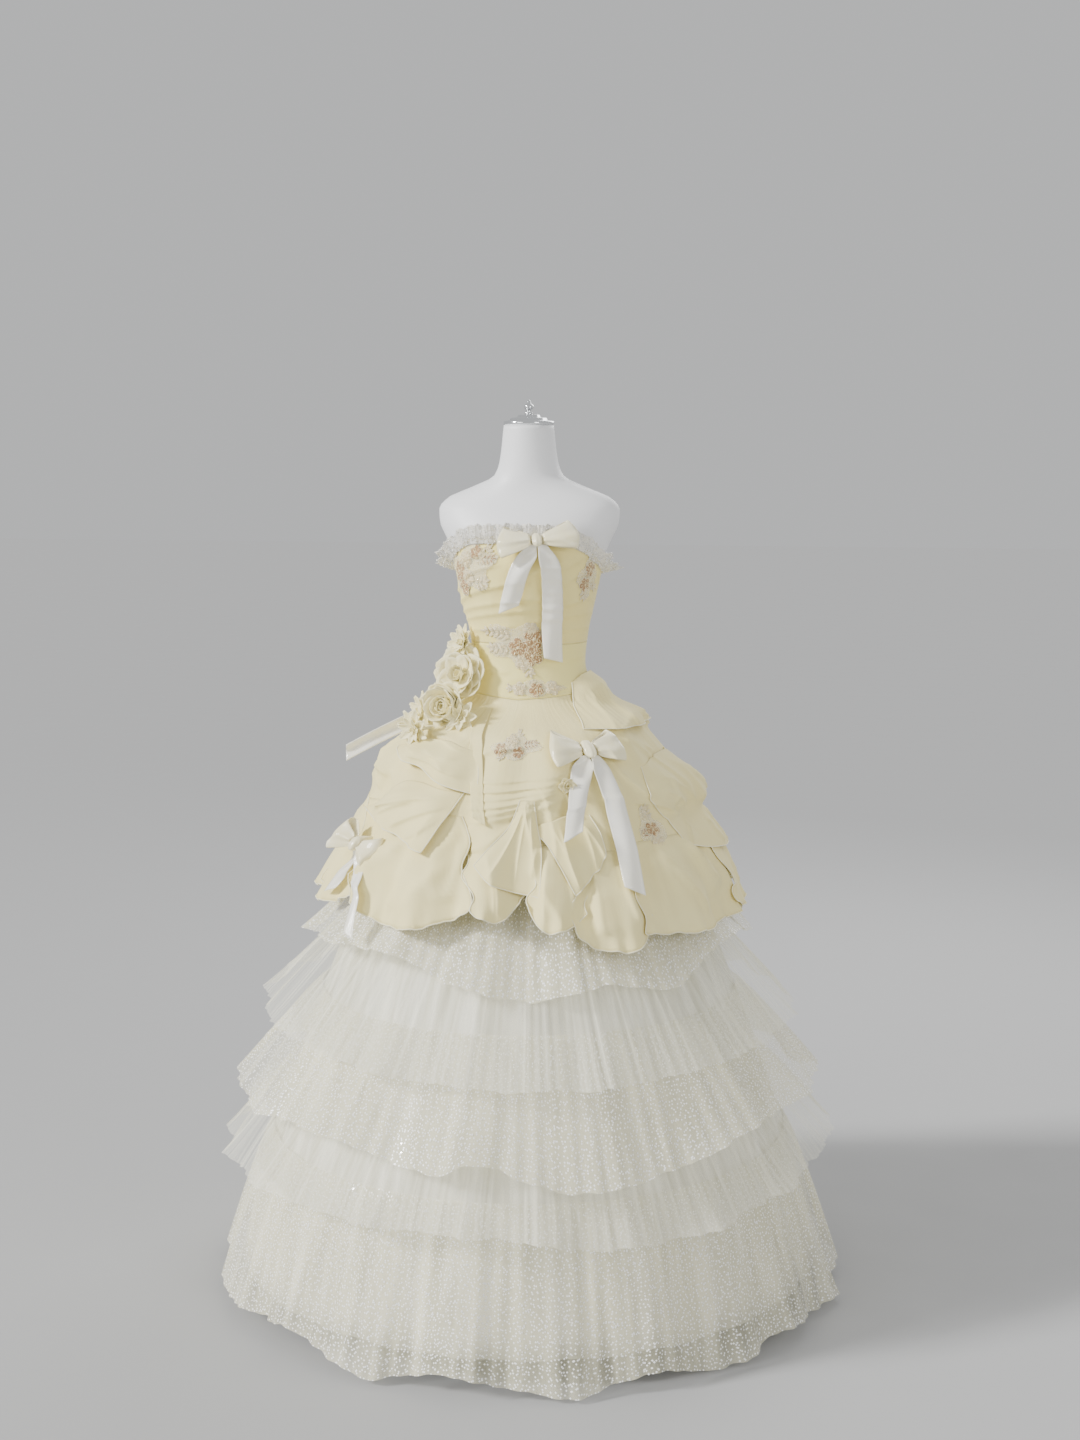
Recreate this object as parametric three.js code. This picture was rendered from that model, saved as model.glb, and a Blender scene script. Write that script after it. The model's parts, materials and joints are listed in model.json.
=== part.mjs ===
// Ball gown on a limbless dress form: strapless draped bodice, picked-up chiffon overskirt, five tulle
// tiers over a satin skirt, three ribbon bows and a cluster of cloth flowers on the right hip.
// Millimetres, +Z up, the front faces -Y and the wearer's left is +X. The origin is on the floor under
// the pole. Angles are in degrees from the front towards the wearer's left.
import * as THREE from "three";

// Rows of a table as objects, from its column names and its values
function table(columns, rows) {
  const names = columns.split(" ");
  return rows.map((row) => Object.fromEntries(row.map((value, column) => [names[column], value])));
}

// Cloth walls and the gaps between pieces
const CLOTH = 1.8;
const RIBBON = 1.6;
const LACE = 1.2;
const SEAM = 0.4;
const BODY_GAP = 3.5;
const GRIP_GAP = 1.8;
const LIE = 0.6;

// Heights of the main lines
const FORM_BOTTOM = 905;
const NECK_TOP = 1646;
const WAIST_SEAM = 1240;
const UNDERSKIRT_TOP = 1118;
const UNDERSKIRT_HEM = 56;
const SWAG_TOP = 962;
const PUFF_BOTTOM = 934;

// Stand
const BASE_RADIUS = 175;
const BASE_HEIGHT = 14;
const POLE_RADIUS = 14;

// Neckline ruffle and bodice folds
const RUFFLE_UNDER = 14;
const RUFFLE_OVER = 20;
const RUFFLE_WAVES = 30;
const FOLD_PITCH = 34;
const FOLD_DEPTH = 3.2;
const FOLD_RISE = 64;

// Colours
const COLOURS = {
  form: 0xf4f3ef,
  chrome: 0xc9cacc,
  bodice: 0xf0e4b4,
  chiffon: 0xece4c6,
  lace: 0xf2eee4,
  motif: 0xe2cdbd,
  ribbon: 0xf7f0dc,
  flower: 0xf1e8cf,
  glitter: 0xdedccf,
  tulle: 0xe4e4de,
  satin: 0xe6e4da,
};

// Half-widths and depths of the dress form
const BODY = [
  { z: 905, width: 146, front: 102, back: 112 },
  { z: 1000, width: 156, front: 108, back: 120 },
  { z: 1080, width: 145, front: 99, back: 110 },
  { z: 1140, width: 121, front: 88, back: 92 },
  { z: 1203, width: 103, front: 81, back: 78 },
  { z: 1260, width: 109, front: 88, back: 81 },
  { z: 1320, width: 122, front: 106, back: 87 },
  { z: 1385, width: 137, front: 121, back: 94 },
  { z: 1430, width: 156, front: 108, back: 97 },
  { z: 1466, width: 172, front: 91, back: 94 },
  { z: 1490, width: 174, front: 76, back: 86 },
  { z: 1510, width: 158, front: 64, back: 74 },
  { z: 1530, width: 112, front: 58, back: 64 },
  { z: 1552, width: 66, front: 56, back: 56 },
  { z: 1580, width: 55, front: 54, back: 52 },
  { z: 1646, width: 47, front: 50, back: 44 },
];

// Top edge of the bodice, alike on both sides
const TOP_EDGE = [
  { angle: 0, z: 1444 },
  { angle: 40, z: 1440 },
  { angle: 70, z: 1406 },
  { angle: 90, z: 1386 },
  { angle: 135, z: 1374 },
  { angle: 180, z: 1368 },
];

// Lower edge of the basque, where the overskirt is sewn on
const BASQUE_EDGE = [
  { angle: 0, z: 1136 },
  { angle: 50, z: 1144 },
  { angle: 100, z: 1156 },
  { angle: 180, z: 1150 },
];

// Outer radius of the satin underskirt
const UNDERSKIRT = [
  { z: 56, radius: 562 },
  { z: 200, radius: 530 },
  { z: 400, radius: 464 },
  { z: 600, radius: 390 },
  { z: 800, radius: 306 },
  { z: 950, radius: 234 },
  { z: 1050, radius: 178 },
  { z: 1118, radius: 131 },
];

// Outer radius of the overskirt without its folds, by the drop below the basque's edge
const OVERSKIRT = [
  { drop: 0, radius: 127 },
  { drop: 22, radius: 152 },
  { drop: 50, radius: 189 },
  { drop: 100, radius: 236 },
  { drop: 150, radius: 269 },
  { drop: 205, radius: 301 },
  { drop: 260, radius: 328 },
  { drop: 320, radius: 357 },
  { drop: 380, radius: 384 },
  { drop: 420, radius: 397 },
];

// Soft puffs of the overskirt, as bulges on the plain shape
const PUFFS = table(
  "angle z wide tall out",
  [
    [-66, 1030, 26, 46, 22],
    [-104, 985, 24, 50, 16],
    [-28, 985, 18, 40, 12],
    [62, 1000, 20, 48, 14],
    [98, 975, 22, 44, 24],
    [140, 1010, 22, 48, 18],
    [178, 980, 22, 46, 20],
    [-142, 1020, 20, 46, 18],
    [90, 850, 20, 60, 12],
  ],
);

// Scalloped hem of the overskirt
const OVERSKIRT_HEM = [
  { angle: -180, z: 762 },
  { angle: -158, z: 790 },
  { angle: -132, z: 752 },
  { angle: -108, z: 788 },
  { angle: -76, z: 770 },
  { angle: -44, z: 796 },
  { angle: -22, z: 760 },
  { angle: -4, z: 804 },
  { angle: 3, z: 784 },
  { angle: 12, z: 812 },
  { angle: 21, z: 770 },
  { angle: 27, z: 786 },
  { angle: 36, z: 734 },
  { angle: 47, z: 768 },
  { angle: 58, z: 748 },
  { angle: 78, z: 768 },
  { angle: 95, z: 746 },
  { angle: 124, z: 786 },
  { angle: 150, z: 750 },
  { angle: 180, z: 762 },
];

// Pointed flaps that the pick-ups turn out over the overskirt; curl is the lift kept at the tip
const FLAPS = table(
  "name angle top tip wideTop wideLow lean lift curl folds depth",
  [
    ["flap_hip_left", 86, 1176, 1056, 38, 56, 4, 20, 0.5, 3, 7],
    ["flap_front_right", -34, 1070, 990, 24, 40, 6, 12, 0.9, 3, 9],
    ["flap_front_low", -34, 978, 872, 22, 38, 8, 16, 0.9, 3, 12],
    ["flap_centre", 4, 950, 828, 12, 24, 1, 14, 0.9, 3, 12],
    ["flap_front_left", 28, 946, 820, 10, 18, 1, 16, 0.9, 2, 12],
    ["flap_side_left", 84, 1006, 860, 22, 42, 4, 14, 0.8, 4, 12],
    ["flap_back_left", 138, 1040, 866, 26, 46, -4, 14, 0.8, 4, 12],
    ["flap_back_centre", 188, 1010, 846, 22, 42, 3, 16, 0.8, 4, 12],
    ["flap_back_right", -118, 1040, 858, 26, 46, -4, 14, 0.8, 4, 12],
  ],
);

// Tulle tiers from the top down; flare below 1 bells out near the seam
const TIERS = [
  {
    name: "tier_1_glitter",
    colour: "glitter",
    top: 862,
    hemRadius: 424,
    flare: 1.25,
    waves: 14,
    columns: 56,
    depth: 11,
    phase: 0.4,
    hem: [
      { angle: -180, z: 690 }, { angle: -150, z: 660 }, { angle: -120, z: 706 }, { angle: -90, z: 672 },
      { angle: -58, z: 704 }, { angle: -24, z: 716 }, { angle: -6, z: 674 }, { angle: 12, z: 650 },
      { angle: 34, z: 674 }, { angle: 47, z: 651 }, { angle: 74, z: 718 }, { angle: 104, z: 680 },
      { angle: 130, z: 704 }, { angle: 156, z: 662 }, { angle: 180, z: 690 },
    ],
  },
  {
    name: "tier_2_sheer",
    colour: "tulle",
    top: 722,
    hemRadius: 508,
    flare: 0.95,
    waves: 22,
    columns: 66,
    depth: 7,
    phase: 1.1,
    hem: [
      { angle: -180, z: 540 }, { angle: -90, z: 556 }, { angle: 18, z: 516 }, { angle: 90, z: 540 },
      { angle: 180, z: 540 },
    ],
  },
  {
    name: "tier_3_glitter",
    colour: "glitter",
    top: 582,
    hemRadius: 556,
    flare: 0.85,
    waves: 14,
    columns: 56,
    depth: 13,
    phase: 2.2,
    hem: [
      { angle: -180, z: 380 }, { angle: -150, z: 410 }, { angle: -122, z: 372 }, { angle: -92, z: 412 },
      { angle: -60, z: 388 }, { angle: -30, z: 414 }, { angle: -4, z: 378 }, { angle: 2, z: 400 },
      { angle: 22, z: 350 }, { angle: 42, z: 376 }, { angle: 60, z: 416 }, { angle: 92, z: 420 },
      { angle: 118, z: 376 }, { angle: 150, z: 408 }, { angle: 180, z: 380 },
    ],
  },
  {
    name: "tier_4_sheer",
    colour: "tulle",
    top: 434,
    hemRadius: 582,
    flare: 0.85,
    waves: 22,
    columns: 66,
    depth: 7,
    phase: 0.2,
    hem: [
      { angle: -180, z: 280 }, { angle: -90, z: 276 }, { angle: 4, z: 284 }, { angle: 28, z: 256 },
      { angle: 90, z: 306 }, { angle: 180, z: 280 },
    ],
  },
  {
    name: "tier_5_glitter",
    colour: "glitter",
    top: 312,
    hemRadius: 597,
    flare: 0.8,
    waves: 22,
    columns: 66,
    depth: 10,
    phase: 2.9,
    hem: [
      { angle: -180, z: 22 }, { angle: -150, z: 44 }, { angle: -120, z: 14 }, { angle: -88, z: 34 },
      { angle: -62, z: 18 }, { angle: -31, z: 52 }, { angle: -16, z: 12 }, { angle: -2, z: 42 },
      { angle: 19, z: 8 }, { angle: 33, z: 34 }, { angle: 48, z: 10 }, { angle: 60, z: 32 },
      { angle: 84, z: 12 }, { angle: 112, z: 40 }, { angle: 146, z: 14 }, { angle: 180, z: 22 },
    ],
  },
];

// Ribbon bows: out is the distance from the gown to the middle of the loops, and sink seats the knot
const BOWS = table(
  "name angle z out length height thick tilt knot sink",
  [
    ["bow_bust", 20, 1426, 28, 62, 54, 20, 5, 22, -0.3],
    ["bow_hip", 44, 1060, 18, 60, 52, 24, -2, 26, 0.1],
    ["bow_side", -56, 868, 36, 44, 54, 24, -16, 24, 1.1],
  ],
);

// Hanging ribbons: middle line, distance off the gown, slant of the cut end and gap at the sewn end
const HANGING = [
  {
    name: "bow_bust_tail_right",
    width: 38,
    colour: "ribbon",
    seat: 0.1,
    slant: 16,
    line: [
      { angle: 11, z: 1405, out: 0.8 },
      { angle: 8, z: 1372, out: 7 },
      { angle: 1, z: 1336, out: 8 },
      { angle: -4, z: 1300, out: 12 },
    ],
  },
  {
    name: "bow_bust_tail_left",
    width: 38,
    colour: "ribbon",
    seat: 0.3,
    slant: -10,
    line: [
      { angle: 31, z: 1405, out: 0.8 },
      { angle: 33, z: 1350, out: 6 },
      { angle: 34, z: 1280, out: 8 },
      { angle: 34, z: 1212, out: 14 },
    ],
  },
  {
    name: "bow_hip_tail_right",
    width: 38,
    colour: "ribbon",
    seat: 1.4,
    slant: 16,
    line: [
      { angle: 40, z: 1038, out: 0.8 },
      { angle: 37, z: 1010, out: 12 },
      { angle: 33, z: 960, out: 26 },
      { angle: 29, z: 908, out: 46 },
    ],
  },
  {
    name: "bow_hip_tail_left",
    width: 38,
    colour: "ribbon",
    seat: 1.2,
    slant: -18,
    line: [
      { angle: 50, z: 1038, out: 0.8 },
      { angle: 50, z: 990, out: 14 },
      { angle: 49, z: 910, out: 20 },
      { angle: 47, z: 826, out: 26 },
    ],
  },
  {
    name: "bow_side_tail_right",
    width: 32,
    colour: "ribbon",
    seat: 1.9,
    slant: 12,
    line: [
      { angle: -59, z: 828, out: 0.8 },
      { angle: -60, z: 812, out: 28 },
      { angle: -61, z: 776, out: 26 },
    ],
  },
  {
    name: "bow_side_tail_left",
    width: 30,
    colour: "ribbon",
    seat: 1.6,
    slant: -16,
    line: [
      { angle: -51, z: 828, out: 0.8 },
      { angle: -49, z: 790, out: 28 },
      { angle: -47, z: 726, out: 54 },
    ],
  },
  {
    name: "hip_chiffon_tail",
    width: 26,
    colour: "chiffon",
    seat: 1.2,
    slant: -14,
    line: [
      { angle: -26, z: 1122, out: 0.8 },
      { angle: -15, z: 1080, out: 10 },
      { angle: -10, z: 1010, out: 11 },
      { angle: -6, z: 944, out: 14 },
    ],
  },
];

// Ribbon end that stands out from behind the hip flowers
const STIFF_RIBBON = { angle: -71, width: 27, rootHeight: 1092, endHeight: 1028, endRadius: 350 };

// Cloth flowers of the hip: place, distance off the gown, facing direction and petals
const FLOWERS = table(
  "name angle z out faces lift radius petals cup notch",
  [
    ["flower_rose_main", -43, 1128, 46, -34, 30, 42, 5, 24, 0.12],
    ["flower_rose_upper", -46, 1192, 18, -40, 14, 31, 5, 18, 0.14],
    ["flower_daisy_upper", -62, 1248, 20, -48, 22, 29, 9, 6, 0.5],
    ["flower_daisy_side", -58, 1104, 60, -56, 10, 29, 9, 6, 0.5],
    ["flower_petals_front", -27, 1090, 26, -20, 30, 23, 6, 6, 0.45],
    ["flower_petals_low", -55, 1048, 30, -44, -14, 26, 6, 6, 0.45],
    ["rosette_small", 31, 1000, 9, 28, 0, 13, 4, 5, 0.1],
  ],
);

// Lace motifs sewn on the gown: half-widths across and up, and lobes of the outline
const MOTIFS = table(
  "name angle z across up lobes turn",
  [
    ["motif_bust_right", -40, 1376, 52, 38, 5, 20],
    ["motif_bust_left", 66, 1352, 26, 36, 4, 0],
    ["motif_waist", 4, 1238, 52, 36, 5, -10],
    ["motif_basque_edge", 20, 1162, 46, 14, 4, 0],
    ["motif_overskirt_front", 6, 1066, 44, 20, 4, 0],
    ["motif_overskirt_side", 62, 905, 24, 46, 4, 10],
  ],
);

const radians = THREE.MathUtils.degToRad;
const lerp = THREE.MathUtils.lerp;
const smooth = (value) => THREE.MathUtils.smoothstep(value, 0, 1);

// Value of a table's column on a smooth curve through its rows, which are in rising order of the key
function columnAt(rows, key, column, at) {
  const last = rows.length - 1;
  if (at <= rows[0][key]) return rows[0][column];
  if (at >= rows[last][key]) return rows[last][column];
  let row = 0;
  while (rows[row + 1][key] < at) row += 1;
  const step = (first, name) => rows[first + 1][name] - rows[first][name];
  const slope = (first) => step(first, column) / step(first, key);
  const shared = (a, b) => (a * b > 0 ? (2 * a * b) / (a + b) : 0);
  const here = slope(row);
  const span = step(row, key);
  const t = (at - rows[row][key]) / span;
  const leaving = row > 0 ? shared(slope(row - 1), here) : here;
  const arriving = row + 1 < last ? shared(here, slope(row + 1)) : here;
  const start = (rows[row][column] * (1 + 2 * t) + leaving * span * t) * (1 - t) ** 2;
  const end = (rows[row + 1][column] * (3 - 2 * t) + arriving * span * (t - 1)) * t * t;
  return start + end;
}

// Angle brought to the range from -180 to 180
function wrapped(angle) {
  return ((((angle + 180) % 360) + 360) % 360) - 180;
}

function around(angle, radius, z) {
  const turn = radians(angle);
  return [radius * Math.sin(turn), -radius * Math.cos(turn), z];
}

// Radius of the dress form's oval section
function bodyRadius(angle, z) {
  const turn = radians(angle);
  const depth = Math.cos(turn) > 0 ? columnAt(BODY, "z", "front", z) : columnAt(BODY, "z", "back", z);
  const width = columnAt(BODY, "z", "width", z);
  return 1 / Math.hypot(Math.sin(turn) / width, Math.cos(turn) / depth);
}

function topEdge(angle) {
  return columnAt(TOP_EDGE, "angle", "z", Math.abs(wrapped(angle)));
}

function basqueEdge(angle) {
  return columnAt(BASQUE_EDGE, "angle", "z", Math.abs(wrapped(angle)));
}

// Diagonal folds of the bodice, which climb towards the left bust
function bodiceFold(angle, z) {
  const turned = wrapped(angle);
  const across = smooth((turned + 50) / 130) * smooth((150 - turned) / 60);
  const climb = FOLD_RISE * across * smooth((z - 1250) / 110);
  const wave = 0.5 + 0.5 * Math.cos((2 * Math.PI * (z - climb - WAIST_SEAM)) / FOLD_PITCH);
  const calm = smooth((z - WAIST_SEAM) / 14) * smooth((topEdge(angle) - z) / 20);
  return FOLD_DEPTH * wave * calm;
}

// The bodice grips the form along its top edge and stands a little off it below
function bodiceRadius(angle, z) {
  const gap = lerp(GRIP_GAP, BODY_GAP, smooth((topEdge(angle) - z) / 9));
  return bodyRadius(angle, z) + gap + CLOTH + bodiceFold(angle, z);
}

function puffOut(angle, z) {
  let out = 0;
  for (const puff of PUFFS) {
    const across = wrapped(angle - puff.angle) / puff.wide;
    const up = (z - puff.z) / puff.tall;
    out += puff.out * Math.exp(-across * across - up * up);
  }
  return out;
}

// Outer radius of the overskirt, oval at its seam and rounder below it
function overskirtRadius(angle, z) {
  const drop = basqueEdge(angle) - z;
  const plain = columnAt(OVERSKIRT, "drop", "radius", drop);
  const seam = bodyRadius(angle, z) + BODY_GAP + CLOTH;
  const fromSeam = lerp(seam, plain, smooth(drop / 60));
  const turn = 16 * angle + 40 * Math.sin(radians(2 * angle));
  const gathers = 5 * Math.cos(radians(turn)) * smooth(drop / 120);
  return fromSeam + puffOut(angle, z) * smooth(drop / 60) + gathers;
}

function swagFold(angle) {
  const turn = radians(angle);
  return Math.cos(18 * turn + 0.9 * Math.sin(3 * turn)) * (0.8 + 0.2 * Math.sin(5 * turn + 1));
}

// Points of a cloth panel as rows of angle, height and outer radius; place(u, v) has u across and v down
function panelGrid(columns, rows, place) {
  const grid = [];
  for (let i = 0; i <= rows; i += 1) {
    grid.push(Array.from({ length: columns + 1 }, (_, j) => place(j / columns, i / rows)));
  }
  return grid;
}

// Radius of a panel's flat facets at an angle and height; each cell is two triangles
function gridRadius(grid, angle, z) {
  const columns = grid[0].length - 1;
  const from = grid[0][0].angle;
  const share = (angle - from) / (grid[0][columns].angle - from);
  const across = THREE.MathUtils.clamp(share, 0, 0.99999) * columns;
  const column = Math.floor(across);
  const part = across - column;
  const lineHeight = (row) => lerp(row[column].z, row[column + 1].z, part);
  let row = 0;
  while (row < grid.length - 2 && lineHeight(grid[row + 1]) > z) row += 1;
  const height = THREE.MathUtils.clamp(z, lineHeight(grid[row + 1]), lineHeight(grid[row]));
  const [highLeft, highRight] = grid[row].slice(column, column + 2);
  const [lowLeft, lowRight] = grid[row + 1].slice(column, column + 2);
  const down = (height - lerp(highLeft.z, highRight.z, part)) / (lowLeft.z - highLeft.z);
  if (part + down <= 1) {
    const drop = down * (lowLeft.radius - highLeft.radius);
    return highLeft.radius + part * (highRight.radius - highLeft.radius) + drop;
  }
  const up = (height - lerp(lowLeft.z, lowRight.z, part)) / (highRight.z - lowRight.z);
  const rise = up * (highRight.radius - lowRight.radius);
  return lowRight.radius + (1 - part) * (lowLeft.radius - lowRight.radius) + rise;
}

const SIDE_SEAM = 90 - 0.15;
const BACK_SEAM = 180 - 0.25;

function bodicePlace(from, to) {
  return (u, v) => {
    const angle = lerp(from, to, u);
    const z = lerp(topEdge(angle), WAIST_SEAM + SEAM, v);
    return { angle, z, radius: bodiceRadius(angle, z) };
  };
}

function basquePlace(from, to) {
  return (u, v) => {
    const angle = lerp(from, to, u);
    const z = lerp(WAIST_SEAM, basqueEdge(angle) + SEAM, v);
    return { angle, z, radius: bodyRadius(angle, z) + BODY_GAP + CLOTH };
  };
}

function upperPlace(u, v) {
  const angle = lerp(-180, 180, u);
  const z = lerp(basqueEdge(angle), PUFF_BOTTOM, v ** 1.2);
  return { angle, z, radius: overskirtRadius(angle, z) };
}

// Lower overskirt, sewn inside the upper one
function lowerPlace(u, v) {
  const angle = lerp(-180, 180, u);
  const z = lerp(SWAG_TOP, columnAt(OVERSKIRT_HEM, "angle", "z", angle), v);
  const inside = 12 * (1 - smooth(v / 0.5));
  return { angle, z, radius: overskirtRadius(angle, z) - inside + 11 * swagFold(angle) * v };
}

function satinPlace(u, v) {
  const angle = lerp(-180, 180, u);
  const z = lerp(UNDERSKIRT_TOP, UNDERSKIRT_HEM, v);
  const seam = bodyRadius(angle, z) + 1 + CLOTH;
  return { angle, z, radius: lerp(seam, columnAt(UNDERSKIRT, "z", "radius", z), smooth(v / 0.12)) };
}

const GRIDS = {
  satin_underskirt: panelGrid(36, 6, satinPlace),
  bodice_front: panelGrid(16, 17, bodicePlace(-SIDE_SEAM, SIDE_SEAM)),
  bodice_back_left: panelGrid(7, 9, bodicePlace(180 - SIDE_SEAM, BACK_SEAM)),
  bodice_back_right: panelGrid(7, 9, bodicePlace(-BACK_SEAM, SIDE_SEAM - 180)),
  basque_front: panelGrid(12, 4, basquePlace(-SIDE_SEAM, SIDE_SEAM)),
  basque_back_left: panelGrid(6, 4, basquePlace(180 - SIDE_SEAM, BACK_SEAM)),
  basque_back_right: panelGrid(6, 4, basquePlace(-BACK_SEAM, SIDE_SEAM - 180)),
  overskirt_upper: panelGrid(48, 5, upperPlace),
  overskirt_lower: panelGrid(72, 3, lowerPlace),
};

// Outer radius of the gown where other pieces lie on it
function skin(angle, z) {
  const turned = wrapped(angle);
  const part = Math.abs(turned) < 90 ? "front" : turned > 0 ? "back_left" : "back_right";
  if (z > WAIST_SEAM) return gridRadius(GRIDS[`bodice_${part}`], turned, z);
  if (z > basqueEdge(turned)) return gridRadius(GRIDS[`basque_${part}`], turned, z);
  const upper = gridRadius(GRIDS.overskirt_upper, turned, z);
  if (z > SWAG_TOP) return upper;
  const lower = gridRadius(GRIDS.overskirt_lower, turned, z);
  return z > PUFF_BOTTOM ? Math.max(upper, lower) : lower;
}

// Radius that clears the gown for a stretch of angle and height round a place
function cover(angle, z, degrees, height) {
  let reach = skin(angle, z);
  for (const [turn, drop] of [[-1, 0], [1, 0], [0, -1], [-1, -1], [1, -1]]) {
    reach = Math.max(reach, skin(angle + turn * degrees, z + drop * height));
  }
  return reach;
}

// Closed body from a list of points and triangles, with its faces turned outwards
function bodyFrom(points, faces) {
  let volume = 0;
  const a = new THREE.Vector3();
  const b = new THREE.Vector3();
  const c = new THREE.Vector3();
  for (const [i, j, k] of faces) {
    volume += a.fromArray(points[i]).dot(b.fromArray(points[j]).cross(c.fromArray(points[k])));
  }
  const index = volume > 0 ? faces.flat() : faces.flatMap(([i, j, k]) => [i, k, j]);
  const geometry = new THREE.BufferGeometry();
  geometry.setAttribute("position", new THREE.Float32BufferAttribute(points.flat(), 3));
  geometry.setIndex(index);
  geometry.computeVertexNormals();
  return geometry;
}

// Closed wall between an outer and an inner grid of points; a grid that wraps closes round its columns
function wallFrom(outer, inner, wraps) {
  const rows = outer.length;
  const columns = outer[0].length;
  const points = [...outer.flat(), ...inner.flat()];
  const out = (i, j) => i * columns + (j % columns);
  const back = (i, j) => rows * columns + out(i, j);
  const spans = wraps ? columns : columns - 1;
  const faces = [];
  const cell = (a, b, c, d) => faces.push([a, b, c], [b, d, c]);
  for (let i = 0; i < rows - 1; i += 1) {
    for (let j = 0; j < spans; j += 1) {
      cell(out(i, j), out(i + 1, j), out(i, j + 1), out(i + 1, j + 1));
      faces.push([back(i, j), back(i, j + 1), back(i + 1, j)]);
      faces.push([back(i + 1, j), back(i, j + 1), back(i + 1, j + 1)]);
    }
  }
  const low = rows - 1;
  for (let j = 0; j < spans; j += 1) {
    cell(out(0, j), out(0, j + 1), back(0, j), back(0, j + 1));
    cell(out(low, j), back(low, j), out(low, j + 1), back(low, j + 1));
  }
  const far = columns - 1;
  for (let i = 0; i < low && !wraps; i += 1) {
    cell(out(i, 0), back(i, 0), out(i + 1, 0), back(i + 1, 0));
    cell(out(i, far), out(i + 1, far), back(i, far), back(i + 1, far));
  }
  return bodyFrom(points, faces);
}

// Cloth wall from a grid of angle, height and outer radius; a grid that wraps ends on its first column
function clothWall(grid, { wraps = false, thickness = () => CLOTH } = {}) {
  const outer = [];
  const inner = [];
  for (const row of grid) {
    const kept = wraps ? row.slice(0, -1) : row;
    outer.push(kept.map(({ angle, z, radius }) => around(angle, radius, z)));
    inner.push(kept.map(({ angle, z, radius }) => around(angle, radius - thickness(angle, z), z)));
  }
  return wallFrom(outer, inner, wraps);
}

// Closed dish with a front and a back surface, given in rings round its middle
function dishFrom(sectors, rings, frontAt, backAt) {
  const points = [frontAt(0, 0), backAt(0, 0)];
  const front = (ring, sector) => 2 + (ring - 1) * sectors + (sector % sectors);
  const back = (ring, sector) => front(ring, sector) + rings * sectors;
  for (const surface of [frontAt, backAt]) {
    for (let ring = 1; ring <= rings; ring += 1) {
      for (let sector = 0; sector < sectors; sector += 1) {
        points.push(surface((2 * Math.PI * sector) / sectors, ring / rings));
      }
    }
  }
  const faces = [];
  const cell = (a, b, c, d) => faces.push([a, b, c], [b, d, c]);
  for (let s = 0; s < sectors; s += 1) {
    faces.push([0, front(1, s), front(1, s + 1)], [1, back(1, s + 1), back(1, s)]);
    for (let r = 1; r < rings; r += 1) {
      cell(front(r, s), front(r + 1, s), front(r, s + 1), front(r + 1, s + 1));
      faces.push([back(r, s), back(r, s + 1), back(r + 1, s)]);
      faces.push([back(r + 1, s), back(r, s + 1), back(r + 1, s + 1)]);
    }
    cell(front(rings, s), back(rings, s), front(rings, s + 1), back(rings, s + 1));
  }
  return bodyFrom(points, faces);
}

const gown = new THREE.Group();

function add(name, geometry, colour, { roughness = 0.8, metalness = 0 } = {}) {
  const material = new THREE.MeshStandardMaterial({ color: COLOURS[colour], roughness, metalness });
  const mesh = new THREE.Mesh(geometry, material);
  mesh.name = name;
  gown.add(mesh);
  return mesh;
}

// Turned piece from a profile of radius and height, which starts and ends on the axis
function turned(profile, segments) {
  const points = profile.map(([radius, z]) => new THREE.Vector2(radius, z));
  return new THREE.LatheGeometry(points, segments).rotateX(Math.PI / 2);
}

// Heights of the torso's rings, closer together over the shoulders
const TORSO_RINGS = [
  FORM_BOTTOM, 980, 1060, 1120, 1160, 1203, 1260, 1320, 1385, 1425, 1455, 1478, 1496, 1510, 1524, 1538, 1554,
  1590, NECK_TOP,
];

// Torso and neck of the dress form, closed flat above and below
function addTorso() {
  const segments = 28;
  const points = [];
  for (const z of TORSO_RINGS) {
    for (let s = 0; s < segments; s += 1) {
      const angle = (360 * s) / segments;
      points.push(around(angle, bodyRadius(angle, z), z));
    }
  }
  const low = points.push([0, 0, FORM_BOTTOM]) - 1;
  const high = points.push([0, 0, NECK_TOP]) - 1;
  const at = (ring, s) => ring * segments + (s % segments);
  const faces = [];
  const top = TORSO_RINGS.length - 1;
  for (let s = 0; s < segments; s += 1) {
    for (let ring = 0; ring < top; ring += 1) {
      faces.push([at(ring, s), at(ring, s + 1), at(ring + 1, s)]);
      faces.push([at(ring + 1, s), at(ring, s + 1), at(ring + 1, s + 1)]);
    }
    faces.push([low, at(0, s + 1), at(0, s)], [high, at(top, s), at(top, s + 1)]);
  }
  add("form_torso", bodyFrom(points, faces), "form", { roughness: 0.55 });
}

// Profiles of the stepped cap and the finial, as radius and height above their seat
const CAP = [[0, 0], [46, 0], [48, 3], [47, 7], [36, 9], [34, 13], [22, 15], [20, 19], [0, 19]];
const FINIAL = [[0, 0], [7, 0], [8, 3], [4, 7], [9, 12], [9, 17], [4, 21], [4, 24], [1.5, 27], [0, 28]];
const CAP_HEIGHT = 19;
const COLLAR_HEIGHT = 10;
const SEAT_GAP = 0.3;

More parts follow.
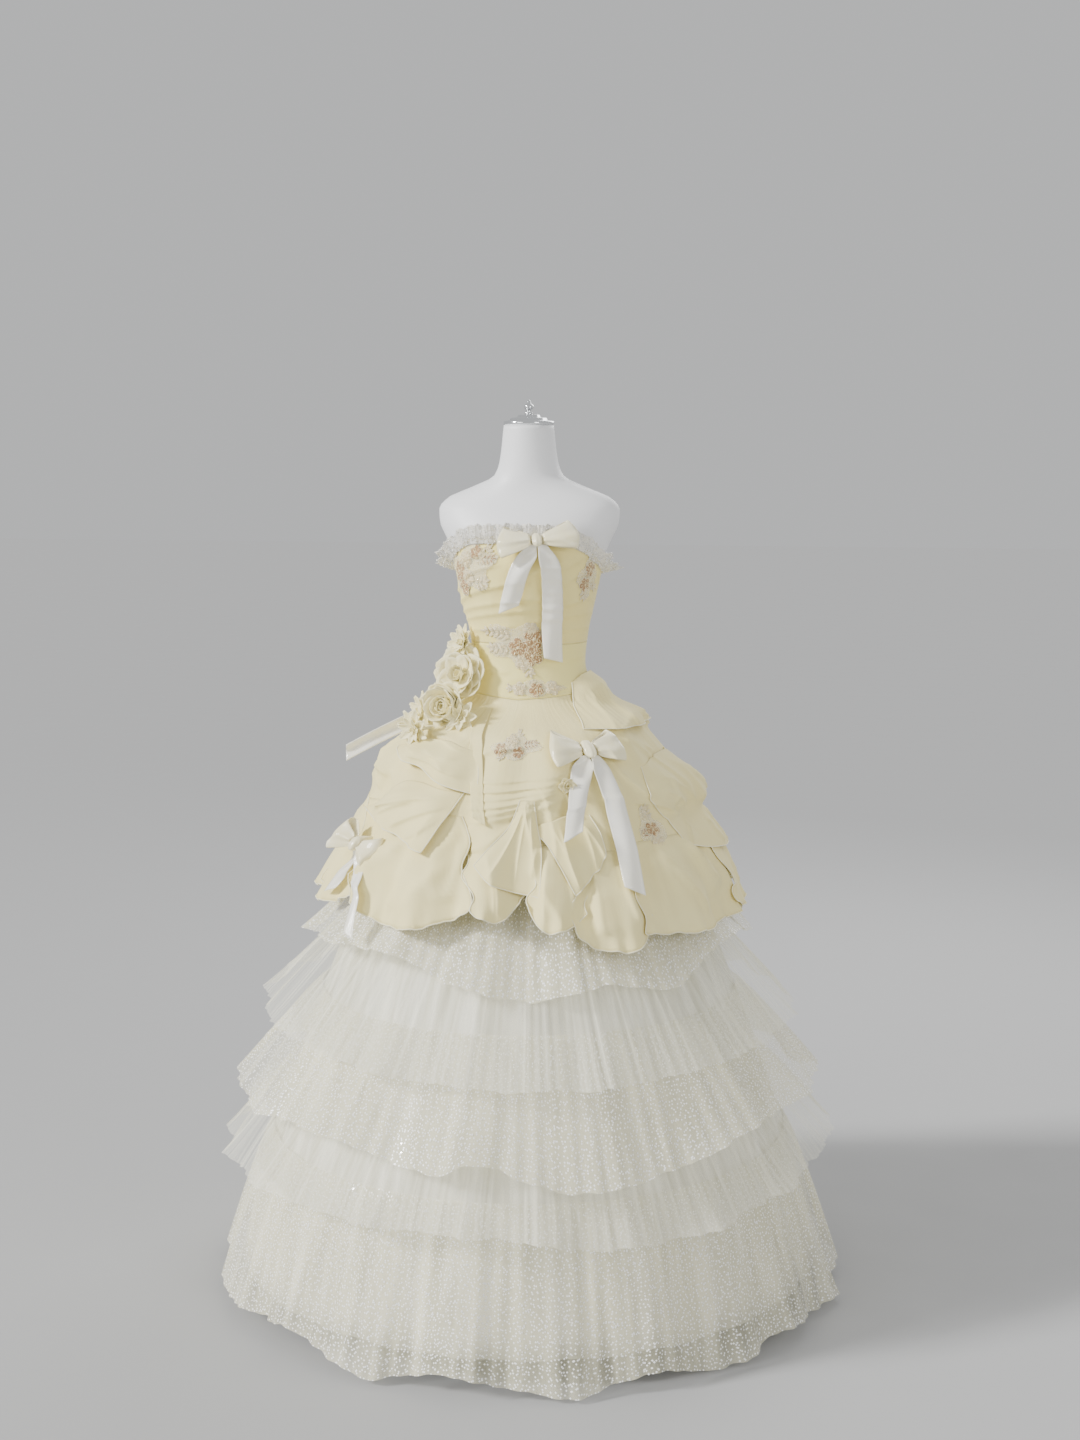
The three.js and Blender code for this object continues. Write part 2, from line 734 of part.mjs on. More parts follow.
// Cap and finial over the neck, and the pole and foot under the torso
function addStand() {
  const chrome = { roughness: 0.2, metalness: 1 };
  const raised = (profile, base) => profile.map(([radius, z]) => [radius, z + base]);
  const capBase = NECK_TOP + SEAT_GAP;
  const finialBase = capBase + CAP_HEIGHT + SEAT_GAP;
  add("form_cap", turned(raised(CAP, capBase), 24), "chrome", chrome);
  add("form_finial", turned(raised(FINIAL, finialBase), 12), "chrome", chrome);
  const collarTop = BASE_HEIGHT + COLLAR_HEIGHT;
  const poleBottom = collarTop + SEAT_GAP;
  const poleTop = FORM_BOTTOM - SEAT_GAP;
  const pole = [[0, poleBottom], [POLE_RADIUS, poleBottom], [POLE_RADIUS, poleTop], [0, poleTop]];
  add("form_pole", turned(pole, 16), "chrome", chrome);
  const foot = [
    [0, 0], [BASE_RADIUS, 0], [BASE_RADIUS, BASE_HEIGHT - 4], [BASE_RADIUS - 5, BASE_HEIGHT],
    [POLE_RADIUS + 12, BASE_HEIGHT], [POLE_RADIUS + 10, collarTop], [0, collarTop],
  ];
  add("form_base", turned(foot, 36), "form", { roughness: 0.5 });
}

// Bodice panels with folds raised over a plain inside, and the smooth basque panels under them
function addBodice() {
  const thickness = (angle, z) => CLOTH + bodiceFold(angle, z);
  for (const part of ["front", "back_left", "back_right"]) {
    add(`bodice_${part}`, clothWall(GRIDS[`bodice_${part}`], { thickness }), "bodice");
    add(`basque_${part}`, clothWall(GRIDS[`basque_${part}`]), "bodice");
  }
}

// Gathered lace along the neckline, which stands out at the sides
function addRuffle() {
  const place = (u, v) => {
    const angle = lerp(-179.4, 179.4, u);
    const z = lerp(topEdge(angle) + RUFFLE_OVER, topEdge(angle) - RUFFLE_UNDER, v);
    const rise = 1 - v;
    const sides = Math.sin(radians(angle)) ** 8;
    const wave = 0.5 + 0.5 * Math.cos(radians(angle * RUFFLE_WAVES));
    const onBodice = bodiceRadius(angle, topEdge(angle) - RUFFLE_UNDER);
    const base = Math.max(onBodice, bodyRadius(angle, z) + BODY_GAP + CLOTH) + LIE + LACE;
    return { angle, z, radius: base + rise * (4 + 22 * sides) + (2 + 5 * rise) * wave };
  };
  add("neckline_ruffle", clothWall(panelGrid(90, 1, place), { thickness: () => LACE }), "lace");
}

function addOverskirt() {
  add("overskirt_upper", clothWall(GRIDS.overskirt_upper, { wraps: true }), "chiffon");
  add("overskirt_lower", clothWall(GRIDS.overskirt_lower, { wraps: true }), "chiffon");
}

function addFlap(flap) {
  const place = (u, v) => {
    const side = Math.abs(2 * u - 1);
    const angle = flap.angle + flap.lean * v + (u - 0.5) * lerp(flap.wideTop, flap.wideLow, v);
    const z = flap.top - 8 * side ** 2 - (flap.top - flap.tip) * v * (1 - 0.4 * side ** 1.6);
    const lift = flap.lift * lerp(Math.sin(Math.PI * v), Math.sqrt(v), flap.curl);
    const fold = flap.depth * v * (0.5 + 0.5 * Math.cos(2 * Math.PI * flap.folds * (u - 0.5) + flap.angle));
    const under = v > 0 ? cover(angle, z, 2.5, 8) : skin(angle, z) + 1.7 * LIE;
    return { angle, z, radius: under + CLOTH + lift + fold };
  };
  add(flap.name, clothWall(panelGrid(3 * flap.folds, 4, place)), "chiffon");
}

function addTier(tier) {
  const place = (u, v) => {
    const angle = lerp(-180, 180, u);
    const turn = radians(angle);
    const z = lerp(tier.top, columnAt(tier.hem, "angle", "z", angle), v);
    const uneven = 0.8 + 0.2 * Math.sin(3 * turn + tier.phase);
    const wave = Math.cos(tier.waves * turn + 0.7 * Math.sin(2 * turn + tier.phase)) * uneven;
    const seam = gridRadius(GRIDS.satin_underskirt, angle, tier.top) + 1 + CLOTH;
    return { angle, z, radius: lerp(seam, tier.hemRadius, v ** tier.flare) + tier.depth * wave * v };
  };
  add(tier.name, clothWall(panelGrid(tier.columns, 2, place), { wraps: true }), tier.colour);
}

function addUnderskirt() {
  add("satin_underskirt", clothWall(GRIDS.satin_underskirt, { wraps: true }), "satin", { roughness: 0.4 });
}

// Ribbon that hangs on the gown along the smooth middle line of its table
function addHanging(row) {
  const last = row.line.length - 1;
  const steps = row.line.map((point, step) => ({ ...point, step }));
  const place = (u, v) => {
    const at = v * last;
    const middle = columnAt(steps, "step", "angle", at);
    const z = columnAt(steps, "step", "z", at) + (u - 0.5) * row.slant * v ** 4;
    const reach = skin(middle, z) + columnAt(steps, "step", "out", at);
    const angle = middle + THREE.MathUtils.radToDeg(((u - 0.5) * row.width) / reach);
    const seat = z > WAIST_SEAM ? cover(angle, z, 1, 8) + row.seat : skin(angle, z) + row.seat;
    const clear = v > 0 ? Math.max(cover(angle, z, 2, 6) + LIE, reach) : seat;
    return { angle, z, radius: clear + RIBBON };
  };
  const geometry = clothWall(panelGrid(2, 7, place), { thickness: () => RIBBON });
  add(row.name, geometry, row.colour, { roughness: 0.35 });
}

// Point on a bow, from the place across, up and out from its knot
function bowPoint(bow, across, up, out) {
  const tilt = radians(bow.tilt);
  const x = across * Math.cos(tilt) - up * Math.sin(tilt);
  const y = across * Math.sin(tilt) + up * Math.cos(tilt);
  const reach = skin(bow.angle, bow.z) + bow.out;
  const angle = bow.angle + THREE.MathUtils.radToDeg(x / reach);
  const z = bow.z + y;
  return around(angle, skin(angle, z) + bow.out + out, z);
}

// One loop of a bow: a band that goes out in front and comes back behind
function addLoop(bow, side, name) {
  const steps = 8;
  const outer = [];
  const inner = [];
  for (let i = 0; i <= steps; i += 1) {
    const t = i / steps;
    const swell = Math.sin(Math.PI * t);
    const across = side * (bow.knot / 2 + LIE + bow.length * swell ** 0.9);
    const out = (bow.thick / 2) * Math.cos(Math.PI * t) * (0.35 + 0.85 * swell);
    const half = lerp(bow.knot * 0.36, bow.height / 2, swell ** 0.8);
    const outerRow = [];
    const innerRow = [];
    for (const up of [half, 0, -half]) {
      const inside = out - RIBBON * Math.cos(Math.PI * t);
      outerRow.push(bowPoint(bow, across, up, out));
      innerRow.push(bowPoint(bow, across - side * RIBBON * swell, up, inside));
    }
    outer.push(outerRow);
    inner.push(innerRow);
  }
  add(name, wallFrom(outer, inner, false), "ribbon", { roughness: 0.35 });
}

function addKnot(bow) {
  const ball = new THREE.SphereGeometry(1, 10, 6);
  const place = ball.getAttribute("position");
  for (let i = 0; i < place.count; i += 1) {
    const across = (place.getX(i) * bow.knot) / 2;
    const up = place.getY(i) * bow.knot * 0.55;
    const forward = place.getZ(i);
    const out = 3 + forward * (forward > 0 ? bow.thick * 0.45 : bow.out + 3 + bow.sink);
    place.setXYZ(i, ...bowPoint(bow, across, up, out));
  }
  add(`${bow.name}_knot`, ball, "ribbon", { roughness: 0.35 });
}

function addBow(bow) {
  addLoop(bow, -1, `${bow.name}_loop_right`);
  addLoop(bow, 1, `${bow.name}_loop_left`);
  addKnot(bow);
}

// Stiff ribbon end that stands out from behind the hip flowers
function addStiffRibbon() {
  const { angle, width, rootHeight, endHeight, endRadius } = STIFF_RIBBON;
  const root = skin(angle, rootHeight - width / 2) + LIE;
  const place = (u, v) => {
    const z = lerp(rootHeight, endHeight, u) + (0.5 - v) * width;
    return { z, radius: lerp(root, endRadius, u) + 4 * Math.sin(Math.PI * u) };
  };
  const outer = [];
  const inner = [];
  for (let i = 0; i <= 1; i += 1) {
    const outerRow = [];
    const innerRow = [];
    for (let j = 0; j <= 6; j += 1) {
      const { z, radius } = place(j / 6, i);
      const [x, y] = around(angle, radius, z);
      const [dx, dy] = around(angle - 90, RIBBON, 0);
      outerRow.push([x, y, z]);
      innerRow.push([x - dx, y - dy, z]);
    }
    outer.push(outerRow);
    inner.push(innerRow);
  }
  add("hip_ribbon", wallFrom(outer, inner, false), "ribbon", { roughness: 0.35 });
}

// Cloth flower as a lobed dish, with a short stem at its back that reaches towards the gown
function addFlower(flower) {
  const seat = skin(flower.angle, flower.z) + flower.out;
  const [x, y, z] = around(flower.angle, seat, flower.z);
  const facing = radians(flower.faces);
  const lift = radians(flower.lift);
  const right = new THREE.Vector3(Math.cos(facing), Math.sin(facing), 0);
  const level = Math.cos(lift);
  const out = new THREE.Vector3(Math.sin(facing) * level, -Math.cos(facing) * level, Math.sin(lift));
  const up = new THREE.Vector3().crossVectors(out, right);
  const centre = new THREE.Vector3(x, y, z);
  const at = (across, rise, forward) => {
    const point = centre.clone().addScaledVector(right, across);
    return point.addScaledVector(up, rise).addScaledVector(out, forward).toArray();
  };
  let stem = 0;
  while (stem < flower.out * 2) {
    const [px, py, pz] = at(0, 0, -stem - 0.25);
    if (Math.hypot(px, py) < skin(THREE.MathUtils.radToDeg(Math.atan2(px, -py)), pz)) break;
    stem += 0.25;
  }
  const edge = (turn) => 1 - flower.notch * (0.5 - 0.5 * Math.cos(flower.petals * turn));
  const thick = 2.2;
  const front = (turn, ring) => {
    const reach = flower.radius * ring * lerp(1, edge(turn), ring);
    const cup = flower.cup * (ring < 0.5 ? 1 - 0.3 * ring : 0.85 - 0.55 * (ring - 0.5));
    return at(reach * Math.cos(turn), reach * Math.sin(turn), cup);
  };
  const back = (turn, ring) => {
    const reach = flower.radius * ring * lerp(1, edge(turn), ring) * (ring < 1 ? 0.55 : 1);
    const cup = ring === 1 ? flower.cup * 0.575 - thick : lerp(-stem, 0, ring * 1.2);
    return at(reach * Math.cos(turn), reach * Math.sin(turn), cup);
  };
  const sectors = flower.petals > 6 ? 2 * flower.petals : 3 * flower.petals;
  add(flower.name, dishFrom(sectors, 3, front, back), "flower");
}

// Lace motif that lies on the gown, thickest along its petals
function addMotif(motif) {
  const middle = skin(motif.angle, motif.z);
  const at = (turn, ring, thickness, seated) => {
    const lobes = 0.82 + 0.18 * Math.cos(motif.lobes * turn);
    const lean = radians(motif.turn);
    const x = motif.across * ring * lobes * Math.cos(turn);
    const y = motif.up * ring * lobes * Math.sin(turn);
    const angle = motif.angle + THREE.MathUtils.radToDeg((x * Math.cos(lean) - y * Math.sin(lean)) / middle);
    const z = motif.z + x * Math.sin(lean) + y * Math.cos(lean);
    const under = seated ? skin(angle, z) - 0.3 : cover(angle, z, 3, 8) + 1;
    return around(angle, under + LIE + thickness, z);
  };
  const petal = (turn, ring) => 0.8 * Math.max(0, Math.cos(motif.lobes * turn)) * ring;
  const front = (turn, ring) => at(turn, ring, 1.2 + petal(turn, ring), false);
  const back = (turn, ring) => at(turn, ring, 0, ring === 0);
  add(motif.name, dishFrom(4 * motif.lobes, 2, front, back), "motif");
}

addTorso();
addStand();
addBodice();
addRuffle();
addOverskirt();
FLAPS.forEach(addFlap);
TIERS.forEach(addTier);
addUnderskirt();
BOWS.forEach(addBow);
HANGING.forEach(addHanging);
addStiffRibbon();
FLOWERS.forEach(addFlower);
MOTIFS.forEach(addMotif);

export default gown;
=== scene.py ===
# %% [markdown]
# # A ball gown on a dress form
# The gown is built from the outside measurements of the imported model. Every surface is a rule over the
# angle round the body and the height above the floor, so a fold, a hem or a flower can be placed by two
# numbers. All tables are in millimetres and degrees; only the finished points are turned into metres.

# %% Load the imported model
import json
import math

import bpy
import numpy as np
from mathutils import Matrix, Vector

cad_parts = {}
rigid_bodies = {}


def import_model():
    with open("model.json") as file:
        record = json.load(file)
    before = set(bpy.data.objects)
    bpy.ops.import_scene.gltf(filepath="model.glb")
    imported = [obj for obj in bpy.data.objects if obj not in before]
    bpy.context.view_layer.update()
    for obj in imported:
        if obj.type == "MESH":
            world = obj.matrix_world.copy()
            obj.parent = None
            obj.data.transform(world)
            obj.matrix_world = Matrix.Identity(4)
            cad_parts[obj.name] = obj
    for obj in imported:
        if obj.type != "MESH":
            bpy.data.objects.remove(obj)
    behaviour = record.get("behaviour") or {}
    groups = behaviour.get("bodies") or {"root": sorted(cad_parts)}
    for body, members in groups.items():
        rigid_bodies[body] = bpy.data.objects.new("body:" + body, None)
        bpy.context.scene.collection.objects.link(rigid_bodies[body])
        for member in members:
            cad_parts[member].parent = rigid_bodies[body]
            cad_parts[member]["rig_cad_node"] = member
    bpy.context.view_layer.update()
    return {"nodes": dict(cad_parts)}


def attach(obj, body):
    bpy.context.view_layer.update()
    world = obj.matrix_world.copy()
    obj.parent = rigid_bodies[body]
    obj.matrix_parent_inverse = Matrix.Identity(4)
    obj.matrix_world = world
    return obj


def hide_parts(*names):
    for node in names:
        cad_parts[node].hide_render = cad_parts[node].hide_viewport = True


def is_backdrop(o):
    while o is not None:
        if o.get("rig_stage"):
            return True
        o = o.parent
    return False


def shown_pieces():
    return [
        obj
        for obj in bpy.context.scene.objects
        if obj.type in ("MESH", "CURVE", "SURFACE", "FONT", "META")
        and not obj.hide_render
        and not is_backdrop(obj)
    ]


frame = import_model()
MM = 0.001

# %% [markdown]
# ## Camera
# The picture was taken with a normal lens, from a little to the wearer's left and from about head height,
# looking slightly down. A 50 mm lens 3.8 m away gives the same widths from the shoulders to the hem.

# %% Place the camera
LENS = 50
CAMERA_DISTANCE = 3.8
CAMERA_HEIGHT = 1.6
CAMERA_TURN = math.radians(12)
CAMERA_DOWN = math.radians(7.69)
CAMERA_SIDESTEP = 0.0209

camera_data = bpy.data.cameras.new("camera")
camera_data.lens = LENS
camera_data.sensor_width = 36
camera = bpy.data.objects.new("camera", camera_data)
bpy.context.scene.collection.objects.link(camera)
camera.location = (
    CAMERA_DISTANCE * math.sin(CAMERA_TURN) + CAMERA_SIDESTEP * math.cos(CAMERA_TURN),
    -CAMERA_DISTANCE * math.cos(CAMERA_TURN) + CAMERA_SIDESTEP * math.sin(CAMERA_TURN),
    CAMERA_HEIGHT,
)
camera.rotation_euler = (math.pi / 2 - CAMERA_DOWN, 0, CAMERA_TURN)
bpy.context.scene.camera = camera
print("camera at", [round(x, 3) for x in camera.location])

# %% [markdown]
# ## Smooth curves through short tables
# A dressmaker keeps a few measurements and draws a fair curve through them. This helper does the same: it
# never swings past a measurement, so a hem has no bumps that the table doesn't give it.

# %% Curve helpers
def lerp(a, b, t):
    return a + (b - a) * t


def smooth(t):
    t = np.clip(t, 0, 1)
    return t * t * (3 - 2 * t)


def wrapped(angle):
    return (np.asarray(angle, float) + 180) % 360 - 180


def curve(rows, at):
    """Fair curve through rows of key and value, read at any keys."""
    keys, values = np.array(rows, float).T
    step = np.diff(keys)
    slope = np.diff(values) / step
    both = slope[:-1] * slope[1:]
    total = np.where(both > 0, slope[:-1] + slope[1:], 1)
    inner = np.where(both > 0, 2 * both / total, 0)
    tangent = np.concatenate([slope[:1], inner, slope[-1:]])
    at = np.clip(at, keys[0], keys[-1])
    row = np.clip(np.searchsorted(keys, at, side="right") - 1, 0, len(step) - 1)
    width = step[row]
    t = (at - keys[row]) / width
    start = (values[row] * (1 + 2 * t) + tangent[row] * width * t) * (1 - t) ** 2
    end = (values[row + 1] * (3 - 2 * t) + tangent[row + 1] * width * (t - 1)) * t * t
    return start + end


def ripple(turn, down, counts, seed):
    """Uneven waves round the body: cosines of whole counts with fixed random phases."""
    rng = np.random.default_rng(seed)
    total = 0
    for count in counts:
        size, phase, drift = rng.uniform(0.5, 1), rng.uniform(0, 2 * math.pi), rng.uniform(-1.5, 1.5)
        total = total + size * np.cos(count * turn + phase + drift * down)
    return total / math.sqrt(len(counts))


halfway = float(curve([(0, 0), (10, 6), (20, 8)], 15))
print("a curve through 0, 6 and 8 is at", round(halfway, 2), "halfway between the last two")

# %% [markdown]
# ## Thin cloth from a grid of points
# Cloth is a grid of points with a second grid just behind it, joined along the rim, so each edge has a real
# thickness. Tulle is so thin that one layer of points is enough. The flat size of the cut piece gives the
# texture coordinates in metres, so a weave keeps its scale where the cloth is gathered.

# %% Grid and shell helpers
def around(angle, radius, z):
    """Points from angle and radius round the body; angle 0 is the front."""
    turn = np.radians(angle)
    flat = np.broadcast_arrays(radius * np.sin(turn), -radius * np.cos(turn), z)
    return np.stack(flat, -1) * MM


def uv_grid(columns, rows):
    """Shares across and down a piece, as two arrays of rows by columns."""
    return np.meshgrid(np.linspace(0, 1, columns), np.linspace(0, 1, rows))


def cells(rows, columns, wraps):
    """Four-cornered faces of a grid and their places on the flat cloth, from 0 to 1."""
    i, j = np.meshgrid(np.arange(rows - 1), np.arange(columns if wraps else columns - 1), indexing="ij")
    corners = [(i, j), (i + 1, j), (i + 1, j + 1), (i, j + 1)]
    faces = np.stack([a * columns + b % columns for a, b in corners], -1).reshape(-1, 4)
    last = columns if wraps else columns - 1
    uv = np.stack([np.stack([b / last, 1 - a / (rows - 1)], -1) for a, b in corners], -2)
    return faces, uv.reshape(-1, 2)


def grid_normals(grid, wraps):
    across = np.roll(grid, -1, 1) - np.roll(grid, 1, 1) if wraps else np.gradient(grid, axis=1)
    normal = np.cross(np.gradient(grid, axis=0), across)
    return normal / (np.linalg.norm(normal, axis=2, keepdims=True) + 1e-12)


def shell(grid, thickness, wraps=False):
    """The grid, a second one behind it and the rim that joins them."""
    rows, columns = grid.shape[:2]
    count = rows * columns
    inner = grid - grid_normals(grid, wraps) * thickness
    faces, uv = cells(rows, columns, wraps)
    number = np.arange(count).reshape(rows, columns)
    if wraps:
        top, low = number[0], number[-1][::-1]
        rims = [np.stack([top, np.roll(top, -1)], -1), np.stack([low, np.roll(low, -1)], -1)]
    else:
        loop = np.concatenate([number[:, 0], number[-1, 1:], number[-2::-1, -1], number[0, -2:0:-1]])
        rims = [np.stack([np.roll(loop, -1), loop], -1)]
    walls = [np.stack([r[:, 0], r[:, 1], r[:, 1] + count, r[:, 0] + count], -1) for r in rims]
    walls = np.concatenate(walls)
    points = np.concatenate([grid.reshape(-1, 3), inner.reshape(-1, 3)])
    all_faces = np.concatenate([faces, faces[:, ::-1] + count, walls])
    all_uv = np.concatenate([uv, uv.reshape(-1, 4, 2)[:, ::-1].reshape(-1, 2), np.zeros((len(walls) * 4, 2))])
    return points, all_faces, all_uv


def build(name, points, faces, uv=None, flat=(1, 1), materials=(), slots=None):
    """Mesh object; flat is the size of the cut piece in metres."""
    mesh = bpy.data.meshes.new(name)
    mesh.from_pydata(np.asarray(points).reshape(-1, 3).tolist(), [], [list(map(int, f)) for f in faces])
    if uv is not None:
        layer = mesh.uv_layers.new(name="cloth")
        layer.data.foreach_set("uv", (np.asarray(uv) * np.array(flat)).astype(np.float32).ravel())
    mesh.polygons.foreach_set("use_smooth", np.ones(len(mesh.polygons), bool))
    for material in materials:
        mesh.materials.append(material)
    if slots is not None:
        mesh.polygons.foreach_set("material_index", np.asarray(slots, np.int32))
    mesh.update()
    piece = bpy.data.objects.new(name, mesh)
    bpy.context.scene.collection.objects.link(piece)
    return piece


def joined(parts):
    """Several parts, each its points and faces, as one; the numbers in the faces are moved on."""
    points, faces, count = [], [], 0
    for part_points, part_faces in parts:
        points.append(np.asarray(part_points).reshape(-1, 3))
        faces.extend([tuple(int(corner) + count for corner in face) for face in part_faces])
        count += len(points[-1])
    return np.concatenate(points), faces


def on_gown(piece, slot, *nodes):
    """Fixes a piece to the gown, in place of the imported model's nodes if any are named."""
    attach(piece, "root")
    if nodes:
        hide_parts(*nodes)
    return piece


def area_of(piece):
    return sum(face.area for face in piece.data.polygons)


print("two rings of 8 points are joined by", len(cells(2, 8, True)[0]), "faces")

# %% [markdown]
# ## Node trees in a few words
# Materials and Geometry Nodes are both graphs of small steps. The helper makes one step, sets its plain
# values and links its inputs, so each tree below reads from top to bottom like a recipe.

# %% Node helpers
def step(tree, kind, inputs=None, **settings):
    """One node, with its settings, plain values and links."""
    node = tree.nodes.new(kind)
    for key, value in settings.items():
        setattr(node, key, value)
    for key, value in (inputs or {}).items():
        if isinstance(value, bpy.types.NodeSocket):
            tree.links.new(value, node.inputs[key])
        else:
            node.inputs[key].default_value = value
    return node


def new_material(name, colour, roughness, **constants):
    material = bpy.data.materials.new(name)
    material.use_nodes = True
    shader = material.node_tree.nodes["Principled BSDF"]
    shader.inputs["Base Color"].default_value = (*colour, 1)
    shader.inputs["Roughness"].default_value = roughness
    for key, value in constants.items():
        shader.inputs[key.replace("_", " ")].default_value = value
    return material, material.node_tree, shader


def maths(tree, operation, a, b):
    return step(tree, "ShaderNodeMath", {0: a, 1: b}, operation=operation).outputs[0]


def ranged(tree, value, low, high, to_low=0.0, to_high=1.0):
    """The value moved from one range to another and held inside it."""
    limits = {"Value": value, 1: low, 2: high, 3: to_low, 4: to_high}
    return step(tree, "ShaderNodeMapRange", limits).outputs[0]


def flat_place(tree):
    """Place on the flat cut cloth, in metres."""
    return step(tree, "ShaderNodeTexCoord").outputs["UV"]


def bumped(tree, shader, height, strength, distance):
    bump = step(tree, "ShaderNodeBump", {"Height": height, "Strength": strength, "Distance": distance})
    tree.links.new(bump.outputs[0], shader.inputs["Normal"])
    return bump


def net_distance(tree, uv, scale, **settings):
    """Distance to the middle, or to the edge, of the cells of a flat net."""
    place = {"Vector": uv, "Scale": scale}
    return step(tree, "ShaderNodeTexVoronoi", place, voronoi_dimensions="2D", **settings).outputs["Distance"]


def blend_colour(tree, factor, a, b):
    mix = step(tree, "ShaderNodeMix", data_type="RGBA")
    tree.links.new(factor, mix.inputs[0])
    mix.inputs[6].default_value = (*a, 1)
    mix.inputs[7].default_value = (*b, 1)
    return mix.outputs[2]


# The wave pattern repeats once in this length at scale 1.
WAVE_LENGTH = 0.314


def weave_bump(tree, shader, uv, pitch, strength, also):
    """Threads crossing at right angles, as a fine bump; also is a second, coarser height."""
    waves = {"Vector": uv, "Scale": WAVE_LENGTH / pitch}
    warp, weft = [step(tree, "ShaderNodeTexWave", waves, bands_direction=way).outputs["Fac"] for way in "XY"]
    fine = bumped(tree, shader, maths(tree, "ADD", warp, weft), strength, 0.0002)
    coarse = step(tree, "ShaderNodeBump", {"Height": also, "Strength": 0.6, "Distance": 0.0012})
    tree.links.new(coarse.outputs[0], fine.inputs["Normal"])


def crinkle(tree, uv, across, down, detail=3):
    """Noise stretched along the cloth's length."""
    move = step(tree, "ShaderNodeMapping", {"Vector": uv, "Scale": (across, down, 1)})
    noise = step(tree, "ShaderNodeTexNoise", {"Vector": move.outputs[0], "Scale": 1.0, "Detail": detail})
    return noise.outputs["Fac"]


print("threads 1 mm apart need a wave scale of", round(WAVE_LENGTH / MM))

# %% [markdown]
# ## Cloth finishes
# Chiffon and the draped bodice cloth are matt, with a soft sheen at grazing angles and threads about half a
# millimetre apart. Satin shows long soft highlights across its smooth side, painted into its colour as light
# and dark streaks. Tulle is a net: its threads cover a third to a half of it, and the rest is open, so its
# opacity comes from the pattern.

# %% Cloth materials
def plain_cloth(name, light, dark, pitch, roughness, sheen, wrinkle=(60, 9), alpha=1.0):
    material, tree, shader = new_material(
        name, light, roughness, Sheen_Weight=sheen, Sheen_Roughness=0.4, Specular_IOR_Level=0.3, Alpha=alpha)
    uv = flat_place(tree)
    patches = crinkle(tree, uv, 14, 11)
    tree.links.new(blend_colour(tree, patches, light, dark), shader.inputs["Base Color"])
    weave_bump(tree, shader, uv, pitch, 0.25, crinkle(tree, uv, *wrinkle))
    return material


def satin_cloth(name, light, dark, roughness, sheen_and_crease_stretch=(50, 3)):
    material, tree, shader = new_material(
        name, light, roughness, Anisotropic=0.55, Anisotropic_Rotation=0.25, Sheen_Weight=0.2,
        Coat_Weight=0.12, Coat_Roughness=0.3)
    uv = flat_place(tree)
    # The base colour is painted light: stretched noise gives lighter streaks of painted highlight and darker
    # ones of painted shade, and the same noise also drives the bump.
    streaks = crinkle(tree, uv, *sheen_and_crease_stretch)
    painted_sheen = ranged(tree, streaks, 0.42, 0.68)
    tree.links.new(blend_colour(tree, painted_sheen, dark, light), shader.inputs["Base Color"])
    weave_bump(tree, shader, uv, 0.0004, 0.12, streaks)
    return material


DOT_WHITE = (1.0, 1.0, 0.97)


def tulle_cloth(name, colour, cover, streak, dots=None):
    """Net with streaks where gathers lie on each other, and glued dots where dots gives their spacing."""
    material, tree, shader = new_material(name, colour, 0.55, Sheen_Weight=0.15, Specular_IOR_Level=0.3)
    uv = flat_place(tree)
    net = net_distance(tree, uv, 600.0, feature="DISTANCE_TO_EDGE")
    thread = ranged(tree, net, 0.05, 0.3, 0.2, -0.12)
    dense = ranged(tree, crinkle(tree, uv, *streak), 0.35, 0.72, cover - 0.14, cover + 0.3)
    alpha = maths(tree, "ADD", thread, dense)
    if dots:
        spots = step(tree, "ShaderNodeTexVoronoi", {"Vector": uv, "Scale": 1 / dots, "Randomness": 0.9},
                     voronoi_dimensions="2D", distance="MINKOWSKI")
        spots.inputs["Exponent"].default_value = 0.8
        spot = ranged(tree, spots.outputs["Distance"], 0.34, 0.26)
        alpha = maths(tree, "MAXIMUM", alpha, spot)
        tree.links.new(blend_colour(tree, spot, colour, DOT_WHITE), shader.inputs["Base Color"])
        tree.links.new(ranged(tree, spot, 0.0, 1.0, 0.6, 0.2), shader.inputs["Roughness"])
    held = step(tree, "ShaderNodeClamp", {"Value": alpha})
    tree.links.new(held.outputs[0], shader.inputs["Alpha"])
    return material


def lace_cloth(name, colour, cell):
    material, tree, shader = new_material(name, colour, 0.7, Sheen_Weight=0.2)
    uv = flat_place(tree)
    bars = ranged(tree, net_distance(tree, uv, 1 / cell, feature="DISTANCE_TO_EDGE"), 0.22, 0.12, 0.12, 1.0)
    flowers = ranged(tree, net_distance(tree, uv, 0.22 / cell), 0.42, 0.34, 0.0, 0.9)
    alpha = maths(tree, "MAXIMUM", bars, flowers)
    tree.links.new(alpha, shader.inputs["Alpha"])
    bumped(tree, shader, alpha, 0.5, 0.0006)
    return material


def thread_work(name, light, dark):
    """Satin-stitch embroidery: parallel threads over a pad, in two close shades."""
    material, tree, shader = new_material(name, light, 0.5, Sheen_Weight=0.3)
    place = step(tree, "ShaderNodeTexCoord").outputs["Object"]
    speckle = step(tree, "ShaderNodeTexVoronoi", {"Vector": place, "Scale": 420.0})
    tree.links.new(blend_colour(tree, speckle.outputs["Distance"], dark, light), shader.inputs["Base Color"])
    threads = step(tree, "ShaderNodeTexWave", {"Vector": place, "Scale": 330.0, "Distortion": 2.5},
                   bands_direction="DIAGONAL")
    bumped(tree, shader, threads.outputs["Fac"], 0.7, 0.0006)
    return material


